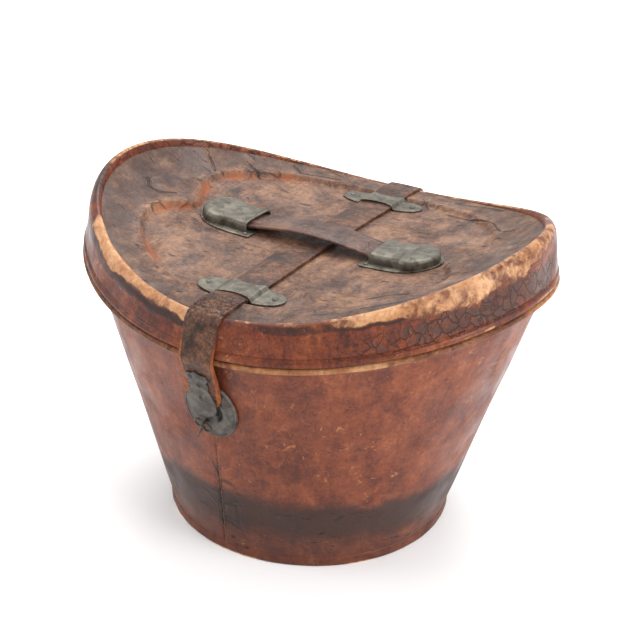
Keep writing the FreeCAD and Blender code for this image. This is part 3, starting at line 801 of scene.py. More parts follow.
def mix_palette() -> Palette:
    """Build every finish once."""
    wall = HideTones(
        (0.050, 0.015, 0.011), (0.100, 0.024, 0.013), (0.172, 0.043, 0.018), (0.285, 0.090, 0.034)
    )
    skirt = HideTones(
        (0.022, 0.008, 0.006), (0.066, 0.014, 0.008), (0.150, 0.032, 0.011), (0.29, 0.086, 0.027),
        char=(0.019, 0.011, 0.010), crack=(0.070, 0.022, 0.009),
    )
    top = HideTones(
        (0.034, 0.020, 0.017), (0.084, 0.044, 0.032), (0.158, 0.082, 0.052), (0.275, 0.148, 0.086),
        worn=(0.34, 0.17, 0.085),
    )
    welt = HideTones(
        (0.035, 0.012, 0.007), (0.090, 0.028, 0.012), (0.155, 0.052, 0.019), (0.28, 0.115, 0.048),
        worn=(0.30, 0.125, 0.050), pale=(0.46, 0.25, 0.12),
    )
    strap = HideTones(
        (0.016, 0.007, 0.005), (0.042, 0.016, 0.009), (0.080, 0.033, 0.018), (0.160, 0.070, 0.036),
        worn=(0.21, 0.055, 0.013), pale=(0.32, 0.105, 0.028),
    )
    handle = HideTones(
        (0.022, 0.011, 0.010), (0.052, 0.026, 0.021), (0.090, 0.046, 0.034), (0.15, 0.074, 0.048),
        worn=(0.20, 0.085, 0.040), pale=(0.28, 0.14, 0.07),
    )
    pewter = MetalFinish(
        "aged_brass", (0.165, 0.150, 0.115), (0.090, 0.080, 0.062), (0.046, 0.031, 0.019), 0.6
    )
    rust = MetalFinish(
        "rusty_iron", (0.110, 0.070, 0.050), (0.045, 0.029, 0.022), (0.016, 0.010, 0.008), 0.5
    )
    steel = MetalFinish(
        "lock_metal", (0.115, 0.100, 0.085), (0.060, 0.050, 0.043), (0.032, 0.022, 0.016), 0.5
    )
    even = (0.12, 0.35, 0.58, 0.88)
    wall_hide = HideFinish(
        "wall_hide", wall, swell=42.0, crack=34.0, crack_reach=(0.66, 0.74), gloss=(0.30, 0.52),
        grain=(1.0, 1.0, 0.25), stained=True, scratched=0.55, spread=even,
    )
    skirt_hide = HideFinish(
        "skirt_hide", skirt, swell=34.0, crack=105.0, crack_reach=(0.70, 0.80), gloss=(0.28, 0.50),
        grain=(1.6, 1.6, 0.10), spread=even,
    )
    top_hide = HideFinish(
        "lid_hide", top, swell=34.0, crack=46.0, crack_reach=(0.66, 0.76), gloss=(0.42, 0.68),
        grain=(1.0, 0.4, 1.0), scratched=0.5, embossed=True, spread=(0.22, 0.38, 0.53, 0.74),
    )
    welt_hide = HideFinish(
        "welt_hide", welt, swell=60.0, crack=120.0, crack_depth=0.3, crack_reach=(0.62, 0.74),
        gloss=(0.45, 0.7),
    )
    strap_hide = HideFinish(
        "strap_hide", strap, swell=60.0, crack=190.0, crack_depth=0.3, crack_reach=(0.52, 0.66),
        gloss=(0.36, 0.58),
    )
    handle_hide = HideFinish(
        "handle_hide", handle, swell=50.0, crack=110.0, crack_depth=0.3, crack_reach=(0.62, 0.74),
        gloss=(0.34, 0.56), grain=(0.3, 1.0, 1.0),
    )
    return Palette(
        wall=wall_hide.material,
        skirt=skirt_hide.material,
        top=top_hide.material,
        welt=welt_hide.material,
        strap=strap_hide.material,
        handle=handle_hide.material,
        brass=pewter.material,
        iron=rust.material,
        steel=steel.material,
        thread=BoardFinish("waxed_thread", (0.16, 0.09, 0.05), (0.06, 0.03, 0.02)).material,
        cloth=ClothFinish("lining_cloth", (0.30, 0.085, 0.075), (0.16, 0.04, 0.035)).material,
        board=BoardFinish("base_board", (0.33, 0.21, 0.12), (0.20, 0.12, 0.07)).material,
    )


def dress(piece: bpy.types.Object, material: bpy.types.Material) -> None:
    """Give a piece one finish all over."""
    piece.data.materials.clear()
    piece.data.materials.append(material)


def dress_node(node: str, material: bpy.types.Material) -> None:
    """Give a CAD node one finish all over."""
    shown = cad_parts[node]
    if not shown.material_slots:
        shown.data.materials.append(material)
    for socket in shown.material_slots:
        socket.material = material


def settle(
    piece: bpy.types.Object,
    material: bpy.types.Material,
    body: str = "",
    stands_for: Sequence[str] = (),
) -> None:
    """Dress a piece and body, and hide the CAD nodes that it stands for."""
    dress(piece, material)
    if body:
        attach(piece, body)
    if stands_for:
        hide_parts(*stands_for)
    LOG.info("made %s with %d faces", piece.name, len(piece.data.polygons))


# ------------------------------------------------------------------ lines shared by the straps
@dataclass(frozen=True)
class LockFrame:
    """Place and tilt of the lock on the front wall, in millimetres."""

    height: float = 143.0

    @property
    def tilt(self) -> float:
        """Lean of the front wall from upright, in radians."""
        return math.atan(FORM.flare_short)

    def point(self, across: float, up: float, out: float) -> Vector:
        """Place given across, up the wall and outward of the lock."""
        front = -float(FORM.wall(self.height)[1])
        cos, sin = math.cos(self.tilt), math.sin(self.tilt)
        return Vector((across, front - sin * up - cos * out, self.height + cos * up - sin * out))

    @property
    def normal(self) -> Vector:
        """Direction straight out of the lock."""
        return Vector((0.0, -math.cos(self.tilt), -math.sin(self.tilt)))


LOCK = LockFrame()


@dataclass
class StrapPath:
    """A line in the YZ or XZ plane that a strap follows, with its outer side offset."""

    points: List[Tuple[float, float]]
    gauge: float

    def __post_init__(self) -> None:
        """Measure the line and resample it finely."""
        line = np.array(self.points, dtype=float)
        for _ in range(3):
            line = self.cut_corners(line)
        steps = np.hypot(*np.diff(line, axis=0).T)
        self.reach = np.concatenate([[0.0], np.cumsum(steps)])
        self.line = line
        self.length = float(self.reach[-1])

    @staticmethod
    def cut_corners(line: Array) -> Array:
        """One round of corner cutting that keeps both ends."""
        first = line[:-1] * 0.75 + line[1:] * 0.25
        second = line[:-1] * 0.25 + line[1:] * 0.75
        middle = np.stack([first, second], axis=1).reshape(-1, 2)
        return np.concatenate([line[:1], middle[1:-1], line[-1:]])

    def at(self, share: Array, lift: float = 0.0) -> Tuple[Array, Array, Array, Array]:
        """Places and outward normals along the line.

        Args:
            share: share of the length, 0 to 1.
            lift: distance outward of the line.
        Returns:
            First and second coordinate of the places, then of the normals.
        """
        where = share * self.length
        s = np.interp(where, self.reach, self.line[:, 0])
        z = np.interp(where, self.reach, self.line[:, 1])
        ahead = np.clip(where + 1.0, 0, self.length)
        behind = np.clip(where - 1.0, 0, self.length)
        ds = np.interp(ahead, self.reach, self.line[:, 0]) - np.interp(behind, self.reach, self.line[:, 0])
        dz = np.interp(ahead, self.reach, self.line[:, 1]) - np.interp(behind, self.reach, self.line[:, 1])
        size = np.hypot(ds, dz) + 1e-9
        ns, nz = -dz / size, ds / size
        return s + ns * lift, z + nz * lift, ns, nz


def lid_half_line(start: float) -> List[Tuple[float, float]]:
    """Underside of the strap from distance start on the lid, over the crest and down the skirt."""
    line = [(y, float(FORM.panel(0, y)) + 0.5) for y in (0.0, 30.0, 60.0, 84.0, 98.0, 110.0) if y >= start]
    line += [(117.0, float(FORM.panel(0, 117.0)) + 0.9), (124.0, float(FORM.panel(0, 124.0)) + 2.7)]
    line += [(131.0, float(FORM.panel(0, 131.0)) + 3.1), (139.0, float(FORM.panel(0, 139.0)) + 3.1)]
    line += [(146.5, 219.4), (152.0, 218.2), (155.2, 214.6), (157.0, 209.5), (159.0, 203.0), (161.2, 197.0)]
    line += [(162.9, 192.0)]
    return line


def tab_half_line() -> List[Tuple[float, float]]:
    """Underside of the strap end from the ledge down onto the lock, front distances positive."""
    line = [(162.9, 188.0)]
    for up, out in ((41.0, 6.9), (35.0, 5.7), (28.0, 4.9), (18.0, 4.7), (6.0, 4.7)):
        place = LOCK.point(0.0, up, out)
        line.append((-place.y, place.z))
    return line


def tail_half_line() -> List[Tuple[float, float]]:
    """Underside of the strap end on the back wall, from the ledge down."""
    line = [(162.9, 188.0)]
    for z, out in ((181.0, 4.2), (174.0, 1.2), (166.0, 0.5), (150.0, 0.4), (132.5, 0.4)):
        line.append((float(FORM.wall(z)[1]) + out, z))
    return line


# ------------------------------------------------------------------ bucket
@dataclass
class BucketShell:
    """Wall, heel, ledge piping and front seam of the bucket."""

    palette: Palette
    columns: int = 640
    wall_rows: int = 84
    lip: float = 4.0
    stitch: float = 3.4
    stitch_gap: float = 4.6

    scuffs: List[List[Tuple[float, float]]] = field(
        default_factory=lambda: [
            [(39, 118), (49, 116), (59, 123)],
            [(80, 151), (82, 150)],
            [(75, 93), (77, 87)],
            [(43, 73), (45, 73)],
            [(135, 161), (129, 146), (124, 133)],
        ]
    )
    tears: List[List[Tuple[float, float]]] = field(
        default_factory=lambda: [
            [(-8, 90), (-3, 74), (-5, 58), (-1, 48), (-6, 38), (-10, 28)],
            [(-31, 55), (-33, 47), (-27, 41)],
            [(35, 54), (42, 51), (50, 52)],
            [(76, 57), (83, 53), (77, 48)],
        ]
    )

    @staticmethod
    def turn(u: Array) -> Array:
        """Angle for a share of the way round, with more columns at the front."""
        base = u * 2 * math.pi + math.pi / 2
        return base - 0.45 * np.sin(base + math.pi / 2) * 1.0

    @staticmethod
    def seam_line(z: Array) -> Array:
        """Distance across of the front seam at a height."""
        return -1.0 - 0.075 * (124.0 - z)

    def wall_place(self, u: Array, v: Array) -> Array:
        """Outer face, lip and a short inner return of the wall."""
        angle = self.turn(u)
        cos, sin = np.cos(angle), np.sin(angle)
        top = np.full_like(u, FORM.rim_mean)
        for _ in range(6):
            a, b = FORM.wall(top)
            top = FORM.ledge(a * cos, b * sin) - 0.15
        rise = np.clip(v / 0.86, 0.0, 1.0)
        z = FORM.heel - 0.3 + rise * (top - FORM.heel + 0.3)
        a, b = FORM.wall(z)
        past = np.clip((v - 0.86) / 0.14, 0.0, 1.0)
        inset = self.lip * np.clip(past / 0.4, 0.0, 1.0)
        z = z - 9.0 * np.clip((past - 0.4) / 0.6, 0.0, 1.0)
        x, y = (a - inset) * cos, (b - inset) * sin
        points = np.stack([x, y, z], axis=1)
        outward = np.stack([cos / a, sin / b, np.zeros_like(a)], axis=1)
        outward /= np.linalg.norm(outward, axis=1)[:, None]
        swell = 0.55 * rumple(points, 70.0, 3) * smooth(0.0, 0.12, rise) * smooth(1.0, 0.9, rise)
        below = top - z
        swell += 0.9 * smooth(11.5, 9.0, below) * (v < 0.86) - 0.5 * np.exp(-((below - 12.2) / 1.1) ** 2)
        front = y < 0
        gap = x - self.seam_line(z)
        held = front * smooth(128.0, 120.0, z)
        seam = 0.7 * smooth(0.2, 1.2, gap) * smooth(16.0, 6.0, gap) - 0.9 * np.exp(-(gap / 0.7) ** 2)
        swell += seam * held
        flat = front * (np.abs(x) < 27) * smooth(110.0, 118.0, z) * smooth(176.0, 168.0, z)
        swell *= 1.0 - 0.9 * flat
        return points + outward * (swell * (v < 0.88))[:, None]

    def wall_marks(self, u: Array, v: Array, points: Array) -> Dict[str, Array]:
        """Wear, dark patches and cracks of the wall."""
        x, y, z = points.T
        gap = x - self.seam_line(z)
        front = (y < 0).astype(float)
        by_seam = front * np.exp(-((gap - 7.0) / 9.0) ** 2) * smooth(96.0, 80.0, z) * smooth(14.0, 30.0, z)
        left = front * np.exp(-((gap + 14.0) / 6.0) ** 2) * np.exp(-((z - 42.0) / 12.0) ** 2)
        char = 0.42 * np.exp(-((gap - 0.3) / 1.1) ** 2) * front * smooth(126.0, 118.0, z) + 0.22 * left
        fold = np.exp(-((v / 0.86 - 0.944) / 0.012) ** 2) * (0.30 + 0.15 * np.cos(np.arctan2(y, x)))
        worn = 0.30 * smooth(0.97, 1.0, v / 0.86) + 0.75 * fold
        face = points[:, [0, 2]]
        near_scuff = LidShell.nearest(face, self.scuffs)
        scuff = front * np.exp(-((near_scuff / 2.6) ** 2)) * smooth(150.0, 60.0, x) ** 0.3
        char = np.maximum(char, 0.78 * front * np.exp(-((LidShell.nearest(face, self.tears) / 1.9) ** 2)))
        return {"worn": worn, "char": char, "cracked": np.clip(by_seam * 0.9 + left, 0, 1), "scuff": scuff}

    def heel_place(self, u: Array, v: Array) -> Array:
        """Upright band round the foot with a rounded lower edge."""
        angle = u * 2 * math.pi
        shares = (0.0, 0.25, 0.42, 0.55, 0.85, 0.93, 1.0)
        radius = np.interp(v, shares, (109.9, 113.4, 114.5, 115.0, 115.0, 114.7, 114.2))
        z = np.interp(v, (0.0, 0.25, 0.42, 0.55, 0.85, 0.93, 1.0), (0.0, 0.0, 0.45, 1.6, 7.2, 8.1, 8.6))
        points = np.stack([radius * np.cos(angle), radius * np.sin(angle), z], axis=1)
        chip = 0.35 * rumple(points, 14.0, 3, 5.0) * np.exp(-((z - 1.4) / 1.6) ** 2)
        return points * np.stack([1 + chip / 115, 1 + chip / 115, np.ones_like(chip)], axis=1)

    def heel_marks(self, u: Array, v: Array, points: Array) -> Dict[str, Array]:
        """Chipped and worn lower edge of the heel."""
        z = points[:, 2]
        patch = rumple(points, 46.0, 3, 9.0)
        worn = 0.62 * np.exp(-((z - 0.8) / 2.0) ** 2) * smooth(-0.1, 0.35, patch)
        seam = 0.25 * smooth(8.8, 7.6, z) * smooth(6.6, 7.4, z)
        return {"worn": worn, "char": seam, "cracked": 0.3 * worn}

    def welt_place(self, u: Array, v: Array) -> Array:
        """Round piping under the lid, standing out from the wall."""
        angle = u * 2 * math.pi + math.pi / 2
        cos, sin = np.cos(angle), np.sin(angle)
        x_out, y_out = (FORM.rim_long + 1.3) * cos, (FORM.rim_short + 1.3) * sin
        lift = math.pi / 2 - v * math.pi
        level = FORM.ledge(FORM.rim_long * cos, FORM.rim_short * sin)
        z = level - 2.75 + 2.55 * np.sign(np.sin(lift)) * np.abs(np.sin(lift)) ** 0.85
        a, b = FORM.wall(z)
        share = np.cos(lift) ** 0.6
        x = (a - 0.8) * cos + (x_out - (a - 0.8) * cos) * share
        y = (b - 0.8) * sin + (y_out - (b - 0.8) * sin) * share
        points = np.stack([x, y, z], axis=1)
        wobble = 0.28 * rumple(points, 16.0, 3, 2.0)
        points[:, 2] += wobble * share
        return points

    def welt_marks(self, u: Array, v: Array, points: Array) -> Dict[str, Array]:
        """Where the piping is worn to tan: all of the right end, patches elsewhere."""
        x, y, _ = points.T
        angle = np.arctan2(y / FORM.rim_short, x / FORM.rim_long)
        right = smooth(-0.05, 0.75, np.cos(angle + 0.25))
        patch = smooth(-0.25, 0.45, rumple(points, 60.0, 3, 4.0))
        worn = 0.05 + 0.36 * right + 0.30 * patch + 0.16 * right * patch
        left_front = smooth(0.0, 0.5, -np.sin(angle)) * smooth(0.05, -0.2, np.cos(angle))
        return {"worn": worn * (1 - 0.6 * left_front), "char": 0.18 * (1 - right), "cracked": 0.2 * right}

    def sew(self) -> bpy.types.Object:
        """Row of stitches down the front seam."""
        stitches = []
        z = 7.0
        while z < 118.0:
            across = float(self.seam_line(z)) + 1.9
            radius = float(FORM.wall(z)[1])
            depth = math.sqrt(max(0.0, 1 - (across / float(FORM.wall(z)[0])) ** 2)) * radius
            clear_selection()
            bpy.ops.mesh.primitive_uv_sphere_add(segments=8, ring_count=6, radius=1.0)
            thread = bpy.context.object
            lean = Matrix.Rotation(LOCK.tilt, 4, "X")
            size = Matrix.Diagonal((0.42 * MM, 0.36 * MM, self.stitch * 0.5 * MM, 1.0))
            thread.data.transform(Matrix.Translation(Vector((across, -depth - 0.75, z)) * MM) @ lean @ size)
            stitches.append(thread)
            z += self.stitch_gap
        row = join("seam_stitches", stitches)
        round_off(row, 60.0)
        return row

    def build(self) -> None:
        """Model and dress every piece of the bucket shell."""
        wall = Sheet("bucket_wall_hide", self.columns, self.wall_rows).make(self.wall_place, self.wall_marks)
        settle(wall, self.palette.wall, "bucket", ["bucket_wall"])
        heel = Sheet("heel_band_hide", 360, 16, flip=False).make(self.heel_place, self.heel_marks)
        settle(heel, self.palette.wall, "bucket", ["heel_band"])
        welt = Sheet("rim_welt_hide", 512, 14, flip=True).make(self.welt_place, self.welt_marks)
        settle(welt, self.palette.welt, "bucket", ["rim_welt"])
        settle(self.sew(), self.palette.thread, "bucket")
        dress_node("rim_collar", self.palette.welt)
        dress_node("bucket_lining", self.palette.cloth)
        dress_node("base_board", self.palette.board)


# ------------------------------------------------------------------ lid
@dataclass
class LidShell:
    """Embossed top, rolled skirt and lining of the lid."""

    palette: Palette
    step: float = 2.6
    top_long: float = 172.8
    top_short: float = 148.8
    lobes: List[Tuple[float, float]] = field(
        default_factory=lambda: [
            (0, 125), (38, 122), (72, 110), (99, 89), (119, 64), (127, 39), (119, 17), (106, 3)
        ]
    )
    splits: List[List[Tuple[float, float]]] = field(
        default_factory=lambda: [
            [(-150, -12), (-143, -20), (-134, -18), (-128, -6)],
            [(-150, 70), (-128, 52)],
            [(-120, 88), (-100, 78)],
            [(-92, 118), (-80, 110), (-64, 120), (-50, 126)],
            [(62, 104), (88, 96), (108, 84), (120, 66), (134, 62)],
            [(118, -30), (128, -24), (140, -28)],
            [(160, -34), (166, -12), (168, 12), (164, 34)],
            [(92, -104), (112, -92), (132, -74)],
            [(84, -78), (97, -66), (108, -62)],
            [(58, 128), (84, 122), (104, 112)],
        ]
    )

    def field_outline(self) -> Array:
        """Closed outline of the sunk field, smoothed, as points in millimetres."""
        quarter = self.lobes
        right = [(x, -y) for x, y in quarter] + [(x, y) for x, y in reversed(quarter)][1:]
        corners = np.array(right + [(-x, y) for x, y in reversed(right)][1:-1], dtype=float)
        for _ in range(3):
            after = np.roll(corners, -1, axis=0)
            near, far = corners * 0.75 + after * 0.25, corners * 0.25 + after * 0.75
            corners = np.stack([near, far], 1).reshape(-1, 2)
        return corners

    @staticmethod
    def distance(points: Array, line: Array, closed: bool = False) -> Array:
        """Distance from each point to a line of straight runs."""
        ends = np.roll(line, -1, axis=0) if closed else line[1:]
        starts = line if closed else line[:-1]
        best = np.full(len(points), 1e9)
        for start, end in zip(starts, ends):
            run = end - start
            share = np.clip(((points - start) @ run) / (run @ run + 1e-9), 0.0, 1.0)
            best = np.minimum(best, np.linalg.norm(points - start - share[:, None] * run, axis=1))
        return best

    @staticmethod
    def nearest(points: Array, lines: Sequence[Sequence[Tuple[float, float]]]) -> Array:
        """Distance from each point to the nearest of several open lines."""
        away = np.full(len(points), 1e9)
        for line in lines:
            away = np.minimum(away, LidShell.distance(points, np.array(line, dtype=float)))
        return away

    @staticmethod
    def inside(points: Array, line: Array) -> Array:
        """Whether each point is inside a closed outline."""
        found = np.zeros(len(points), dtype=bool)
        for start, end in zip(line, np.roll(line, -1, axis=0)):
            spans = (start[1] > points[:, 1]) != (end[1] > points[:, 1])
            cross = (end[0] - start[0]) * (points[:, 1] - start[1]) / (end[1] - start[1] + 1e-12) + start[0]
            found ^= spans & (points[:, 0] < cross)
        return found

    def top_place(self, u: Array, v: Array) -> Array:
        """Lid top: a saddle with a raised border round the two-lobed field."""
        angle = u * 2 * math.pi + math.pi / 2
        x, y = self.top_long * v * np.cos(angle), self.top_short * v * np.sin(angle)
        flat = np.stack([x, y], axis=1)
        outline = self.field_outline()
        gap = self.distance(flat, outline, True)
        self.gap = np.where(self.inside(flat, outline), -gap, gap)
        raised = self.step * smooth(-2.6, 0.8, self.gap)
        lip = 0.9 * np.exp(-((self.gap - 1.8) / 2.2) ** 2) - 0.7 * np.exp(-((self.gap + 3.4) / 2.2) ** 2)
        lip = lip * (0.55 + 0.45 * smooth(40.0, -80.0, x))
        z = FORM.panel(x, y) + raised + lip
        points = np.stack([x, y, z], axis=1)
        calm = 1 - 0.85 * ((np.abs(y) < 30) & (np.abs(x) < 112)) - 0.85 * (np.abs(x) < 36) * (np.abs(y) > 92)
        waves = 0.55 * rumple(points, 46.0, 4, 1.0) * np.clip(calm, 0.1, 1)
        points[:, 2] += waves - 0.5 * smooth(0.97, 1.0, v)
        return points

    def top_marks(self, u: Array, v: Array, points: Array) -> Dict[str, Array]:
        """Wear at the step, dark border, painted shade along the step and in the gap at the outer edge, the
        painted highlight at the foot of the step, and the long splits of the lid top.
        """
        x, y, _ = points.T
        flat = points[:, :2]
        split = self.nearest(flat, self.splits)
        foot = np.exp(-((self.gap + 2.4) / 3.4) ** 2)
        left = smooth(30.0, -90.0, x)
        # Painted shade: a dark line on the step of the field that stands in for the step's shadow, added to
        # a darker border towards the left.
        char = 0.13 * smooth(2.0, 14.0, self.gap) * left + 0.30 * np.exp(-((self.gap + 0.8) / 1.8) ** 2)
        # Painted shade: a dark line in the gap where the top meets the rolled edge.
        char = np.maximum(char, 0.62 * smooth(0.984, 0.992, v))
        ridge = np.exp(-((self.gap - 0.6) / 2.2) ** 2) * smooth(-0.1, 0.3, rumple(points, 40.0, 3, 7.0))
        rear = smooth(60.0, 118.0, y) * np.exp(-((self.gap - 10.0) / 8.0) ** 2)
        patchy = smooth(0.0, 0.4, rumple(points, 60.0, 2, 3.0))
        return {
            "worn": 0.20 * ridge + 0.10 * rear,
            "char": char,
            "cracked": np.clip(0.75 * np.exp(-((self.gap - 1.0) / 5.0) ** 2) * patchy, 0, 1),
            # Painted highlight at the foot of the step, stronger on the left.
            "glow": foot * (0.35 + 0.65 * left),
            "split": np.clip(split / 10.0, 0.0, 1.0),
            "grey": smooth(4.0, 12.0, self.gap),
        }

    def rim_stations(self) -> Array:
        """Section of the skirt: share of the way, inset, height over ledge or crest, and which."""
        rows = [(9.4, -6.5, 1), (8.6, -4.0, 1), (7.7, -1.8, 1), (6.8, -0.5, 1), (5.7, 0.25, 1)]
        rows += [(4.3, 0.35, 1), (2.8, -0.25, 1), (1.5, -1.6, 1), (0.5, -3.7, 1), (-0.1, -6.4, 1)]
        rows += [(-0.3, -9.4, 1)]
        rows += [(0.0, 14.0, 0.55), (0.0, 11.5, 0.25), (0.0, 8.6, 0.0), (0.1, 7.0, 0.0), (0.75, 5.9, 0)]
        rows += [(0.2, 5.2, 0), (-0.6, 4.5, 0), (-0.9, 3.2, 0), (-0.8, 1.7, 0), (-0.3, 0.6, 0)]
        rows += [(0.7, 0.12, 0), (2.4, 0.12, 0)]
        rows += [(3.4, 0.8, 0), (3.5, 6.0, 0), (3.5, -13.0, 1), (5.0, -8.0, 1)]
        return np.array(rows, dtype=float)

    def rim_place(self, u: Array, v: Array) -> Array:
        """Rolled edge and skirt as one hide, turned under at its lower edge."""
        angle = u * 2 * math.pi + math.pi / 2
        cos, sin = np.cos(angle), np.sin(angle)
        stations = self.rim_stations()
        share = v * (len(stations) - 1)
        order = np.arange(len(stations))
        ledge = FORM.ledge(FORM.rim_long * cos, FORM.rim_short * sin)
        crest = FORM.crest(FORM.crest_long * cos, FORM.crest_short * sin)
        inset = np.interp(share, order, stations[:, 0])
        low = np.clip(np.floor(share).astype(int), 0, len(stations) - 2)
        part = share - low
        level = []
        for step in (0, 1):
            row = stations[low + step]
            level.append(np.where(row[:, 2] >= 1.0, crest + row[:, 1], np.where(
                row[:, 2] > 0, ledge + 9.0 + (crest - ledge - 18.4) * row[:, 2], ledge + row[:, 1])))
        z = level[0] * (1 - part) + level[1] * part
        self.height = (z - ledge) / (crest - ledge)
        lean = np.clip(self.height, 0.0, 1.0) * (FORM.rim_long - FORM.crest_long)
        x, y = (FORM.rim_long - lean - inset) * cos, (FORM.rim_short - lean - inset) * sin
        points = np.stack([x, y, z], axis=1)
        outer = (share > 3) * (share < 20)
        swell = 0.5 * rumple(points, 36.0, 4, 6.0) * outer
        outward = np.stack([cos, sin, 0 * cos], axis=1)
        points += outward * swell[:, None]
        self.outer = outer
        return points

    def rim_marks(self, u: Array, v: Array, points: Array) -> Dict[str, Array]:
        """Bare tan edge, black patches below it and crazed hide towards the right end."""
        x, y, _ = points.T
        angle = np.degrees(np.arctan2(y / FORM.rim_short, x / FORM.rim_long)) % 360.0
        h = np.clip(self.height, 0.0, 1.1)
        ragged = 0.13 * rumple(points, 26.0, 5, 8.0)
        wobble = 11.0 * rumple(points, 24.0, 4, 31.0)

        def window(middle: float, reach: float) -> Array:
            """1 around a place of the rim, given as an angle, and 0 beyond its reach."""
            away = np.abs((angle + wobble - middle + 180.0) % 360.0 - 180.0)
            return smooth(reach, reach * 0.66, away)

        crown = smooth(0.70, 0.92, h + ragged)
        low_right = 0.20 * window(338.0, 24.0)
        patchy = smooth(-0.05, 0.25, rumple(points, 55.0, 3, 21.0) + 0.12 * window(332.0, 40.0))
        binding = 0.55 * smooth(0.12, 0.06, h) * (0.5 + 0.5 * window(325.0, 70.0))
        worn = np.maximum.reduce([
            0.60 * window(244.0, 28.0) * smooth(0.66, 0.86, h + ragged),
            0.36 * window(202.0, 26.0) * crown,
            0.56 * window(336.0, 52.0) * smooth(0.66, 0.86, h + ragged + low_right),
            0.50 * window(290.0, 24.0) * smooth(0.88, 0.98, h + ragged),
            0.56 * window(150.0, 62.0) * crown,
            0.54 * window(60.0, 48.0) * crown,
            0.40 * window(315.0, 60.0) * np.exp(-((h - 0.185) / 0.03) ** 2),
            binding * patchy,
        ])
        char = np.maximum.reduce([
            0.58 * window(299.0, 30.0) * smooth(0.62, 0.76, h + ragged) * smooth(1.06, 0.94, h),
            0.62 * window(165.0, 66.0) * smooth(0.84, 0.97, h),
            0.60 * window(242.0, 34.0) * smooth(0.50, 0.66, h + ragged) * smooth(0.98, 0.80, h),
            0.57 * window(340.0, 38.0) * smooth(0.14, 0.20, h) * smooth(0.74, 0.56, h + ragged),
            0.55 * np.exp(-((h - 0.135) / 0.022) ** 2),
        ])
        crazed = window(336.0, 36.0) * smooth(0.10, 0.18, h) * smooth(0.75, 0.55, h)
        crazed = np.maximum(crazed, 0.8 * window(150.0, 62.0) * crown)
        return {"worn": worn * self.outer, "char": char * self.outer, "cracked": crazed}

    def build(self) -> None:
        """Model and dress every piece of the lid shell."""
        top = Sheet("lid_top_hide", 448, 168, flip=True).make(self.top_place, self.top_marks)
        settle(top, self.palette.top, "lid", ["lid_panel", "lid_border"])
        rim = Sheet("lid_skirt_hide", 560, 104, flip=True).make(self.rim_place, self.rim_marks)
        covered = ["lid_skirt", "lid_edge_roll", "skirt_binding"]
        settle(rim, self.palette.skirt, "lid", covered)
        dress_node("lid_lining", self.palette.cloth)


# ------------------------------------------------------------------ closing strap
@dataclass
class ClosingStrap:
    """The strap from the back wall over the lid to the lock.

    Distances along it count from the back, so its path has its outer side on the left.
    """

    palette: Palette
    half_width: float = 13.5
    gauge: float = 2.4
    seam_at: float = 104.0

    def ribbon(
        self, path: StrapPath, rounded_start: bool, rounded_end: bool
    ) -> Callable[[Array, Array], Array]:
        """Placing function of a strap along a path.

        Args:
            path: line of its underside, as distances to the front and heights.
            rounded_start: whether its first end is rounded.
            rounded_end: whether its last end is rounded.
        Returns:
            Function from u and v to places.
        """

        def place(u: Array, v: Array) -> Array:
            """Place of each point across and along the strap."""
            run = v * path.length
            half = np.full_like(u, self.half_width)
            reach = self.half_width * 0.9
            if rounded_end:
                over = np.clip((run - (path.length - reach)) / reach, 0.0, 0.998)
                half = half * (1 - over ** 2.4) ** 0.5
            if rounded_start:
                over = np.clip((reach - run) / reach, 0.0, 0.998)
                half = half * (1 - over ** 2.4) ** 0.5
            side = 2 * u - 1
            s, z, ns, nz = path.at(v, self.gauge)
            points = np.stack([side * half, -s, z], axis=1)
            bent = np.exp(-((s - 141.0) / 17.0) ** 2)
            crease = 0.40 * np.sin(run * 1.7 + 2.4 * rumple(points, 13.0, 2, 3.0)) * bent
            lift = 0.35 * (1 - side ** 2) - 0.2 + crease + 0.2 * rumple(points, 22.0, 3, 1.5)
            points[:, 1] -= ns * lift
            points[:, 2] += nz * lift
            points[:, 0] += 0.35 * rumple(points * np.array([0, 1, 1]), 30.0, 2, 9.0)
            return points

        return place

    @staticmethod
    def marks(u: Array, v: Array, points: Array) -> Dict[str, Array]:
        """Rusty edges, and cracks where the strap bends over the crest."""
        side = np.abs(2 * u - 1)
        _, y, z = points.T
        bend = np.exp(-((y + 142.0) / 18.0) ** 2) + 0.4 * np.exp(-((y - 142.0) / 18.0) ** 2)
        low = smooth(188.0, 172.0, z) * (y < 0)
        edge = smooth(0.78, 0.98, side)
        rust = smooth(222.0, 190.0, z) * (y < 0)
        worn = edge * (0.36 + 0.12 * rust) + 0.24 * rust + 0.20 * low
        return {"worn": worn, "char": 0.12 * (1 - edge) * (1 - low), "cracked": np.clip(bend, 0, 1) * 0.95}

    def build(self) -> None:
        """Model and dress the strap in two pieces, from the back wall over the lid to a seam, and from the
        seam down onto the lock.
        """
        half = lid_half_line(0.0)
        rear_line = [(-y, z) for y, z in reversed(tail_half_line())]
        rear_line += [(-y, z) for y, z in reversed(half)]
        rear_line += [(y, z) for y, z in half[1:] if y < self.seam_at]
        rear_line.append((self.seam_at, float(FORM.panel(0, self.seam_at)) + 0.5))
        rear = Sheet("closing_strap_hide", 18, 330, self.gauge, bevel=0.6, flip=True)
        rear_piece = rear.make(self.ribbon(StrapPath(rear_line, self.gauge), True, False), self.marks)
        settle(rear_piece, self.palette.strap, "", ["closing_strap", "strap_tail_rear"])
        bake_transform(rear_piece)
        start = self.seam_at - 4.0
        front_line = [(start, float(FORM.panel(0, start)) + 0.5)]
        front_line += [point for point in half if point[0] > self.seam_at] + tab_half_line()
        front = Sheet("strap_front_hide", 22, 240, self.gauge, bevel=0.6, flip=True)
        front_piece = front.make(self.ribbon(StrapPath(front_line, self.gauge), False, True), self.marks)
        settle(front_piece, self.palette.strap, "", ["strap_tab"])
        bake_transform(front_piece)


# ------------------------------------------------------------------ fittings of the lid
def lid_normal(x: float, y: float) -> Vector:
    """Direction straight out of the lid panel at a place."""
    along, across = FORM.slope(x, y)
    return Vector((-along, -across, 1.0)).normalized()


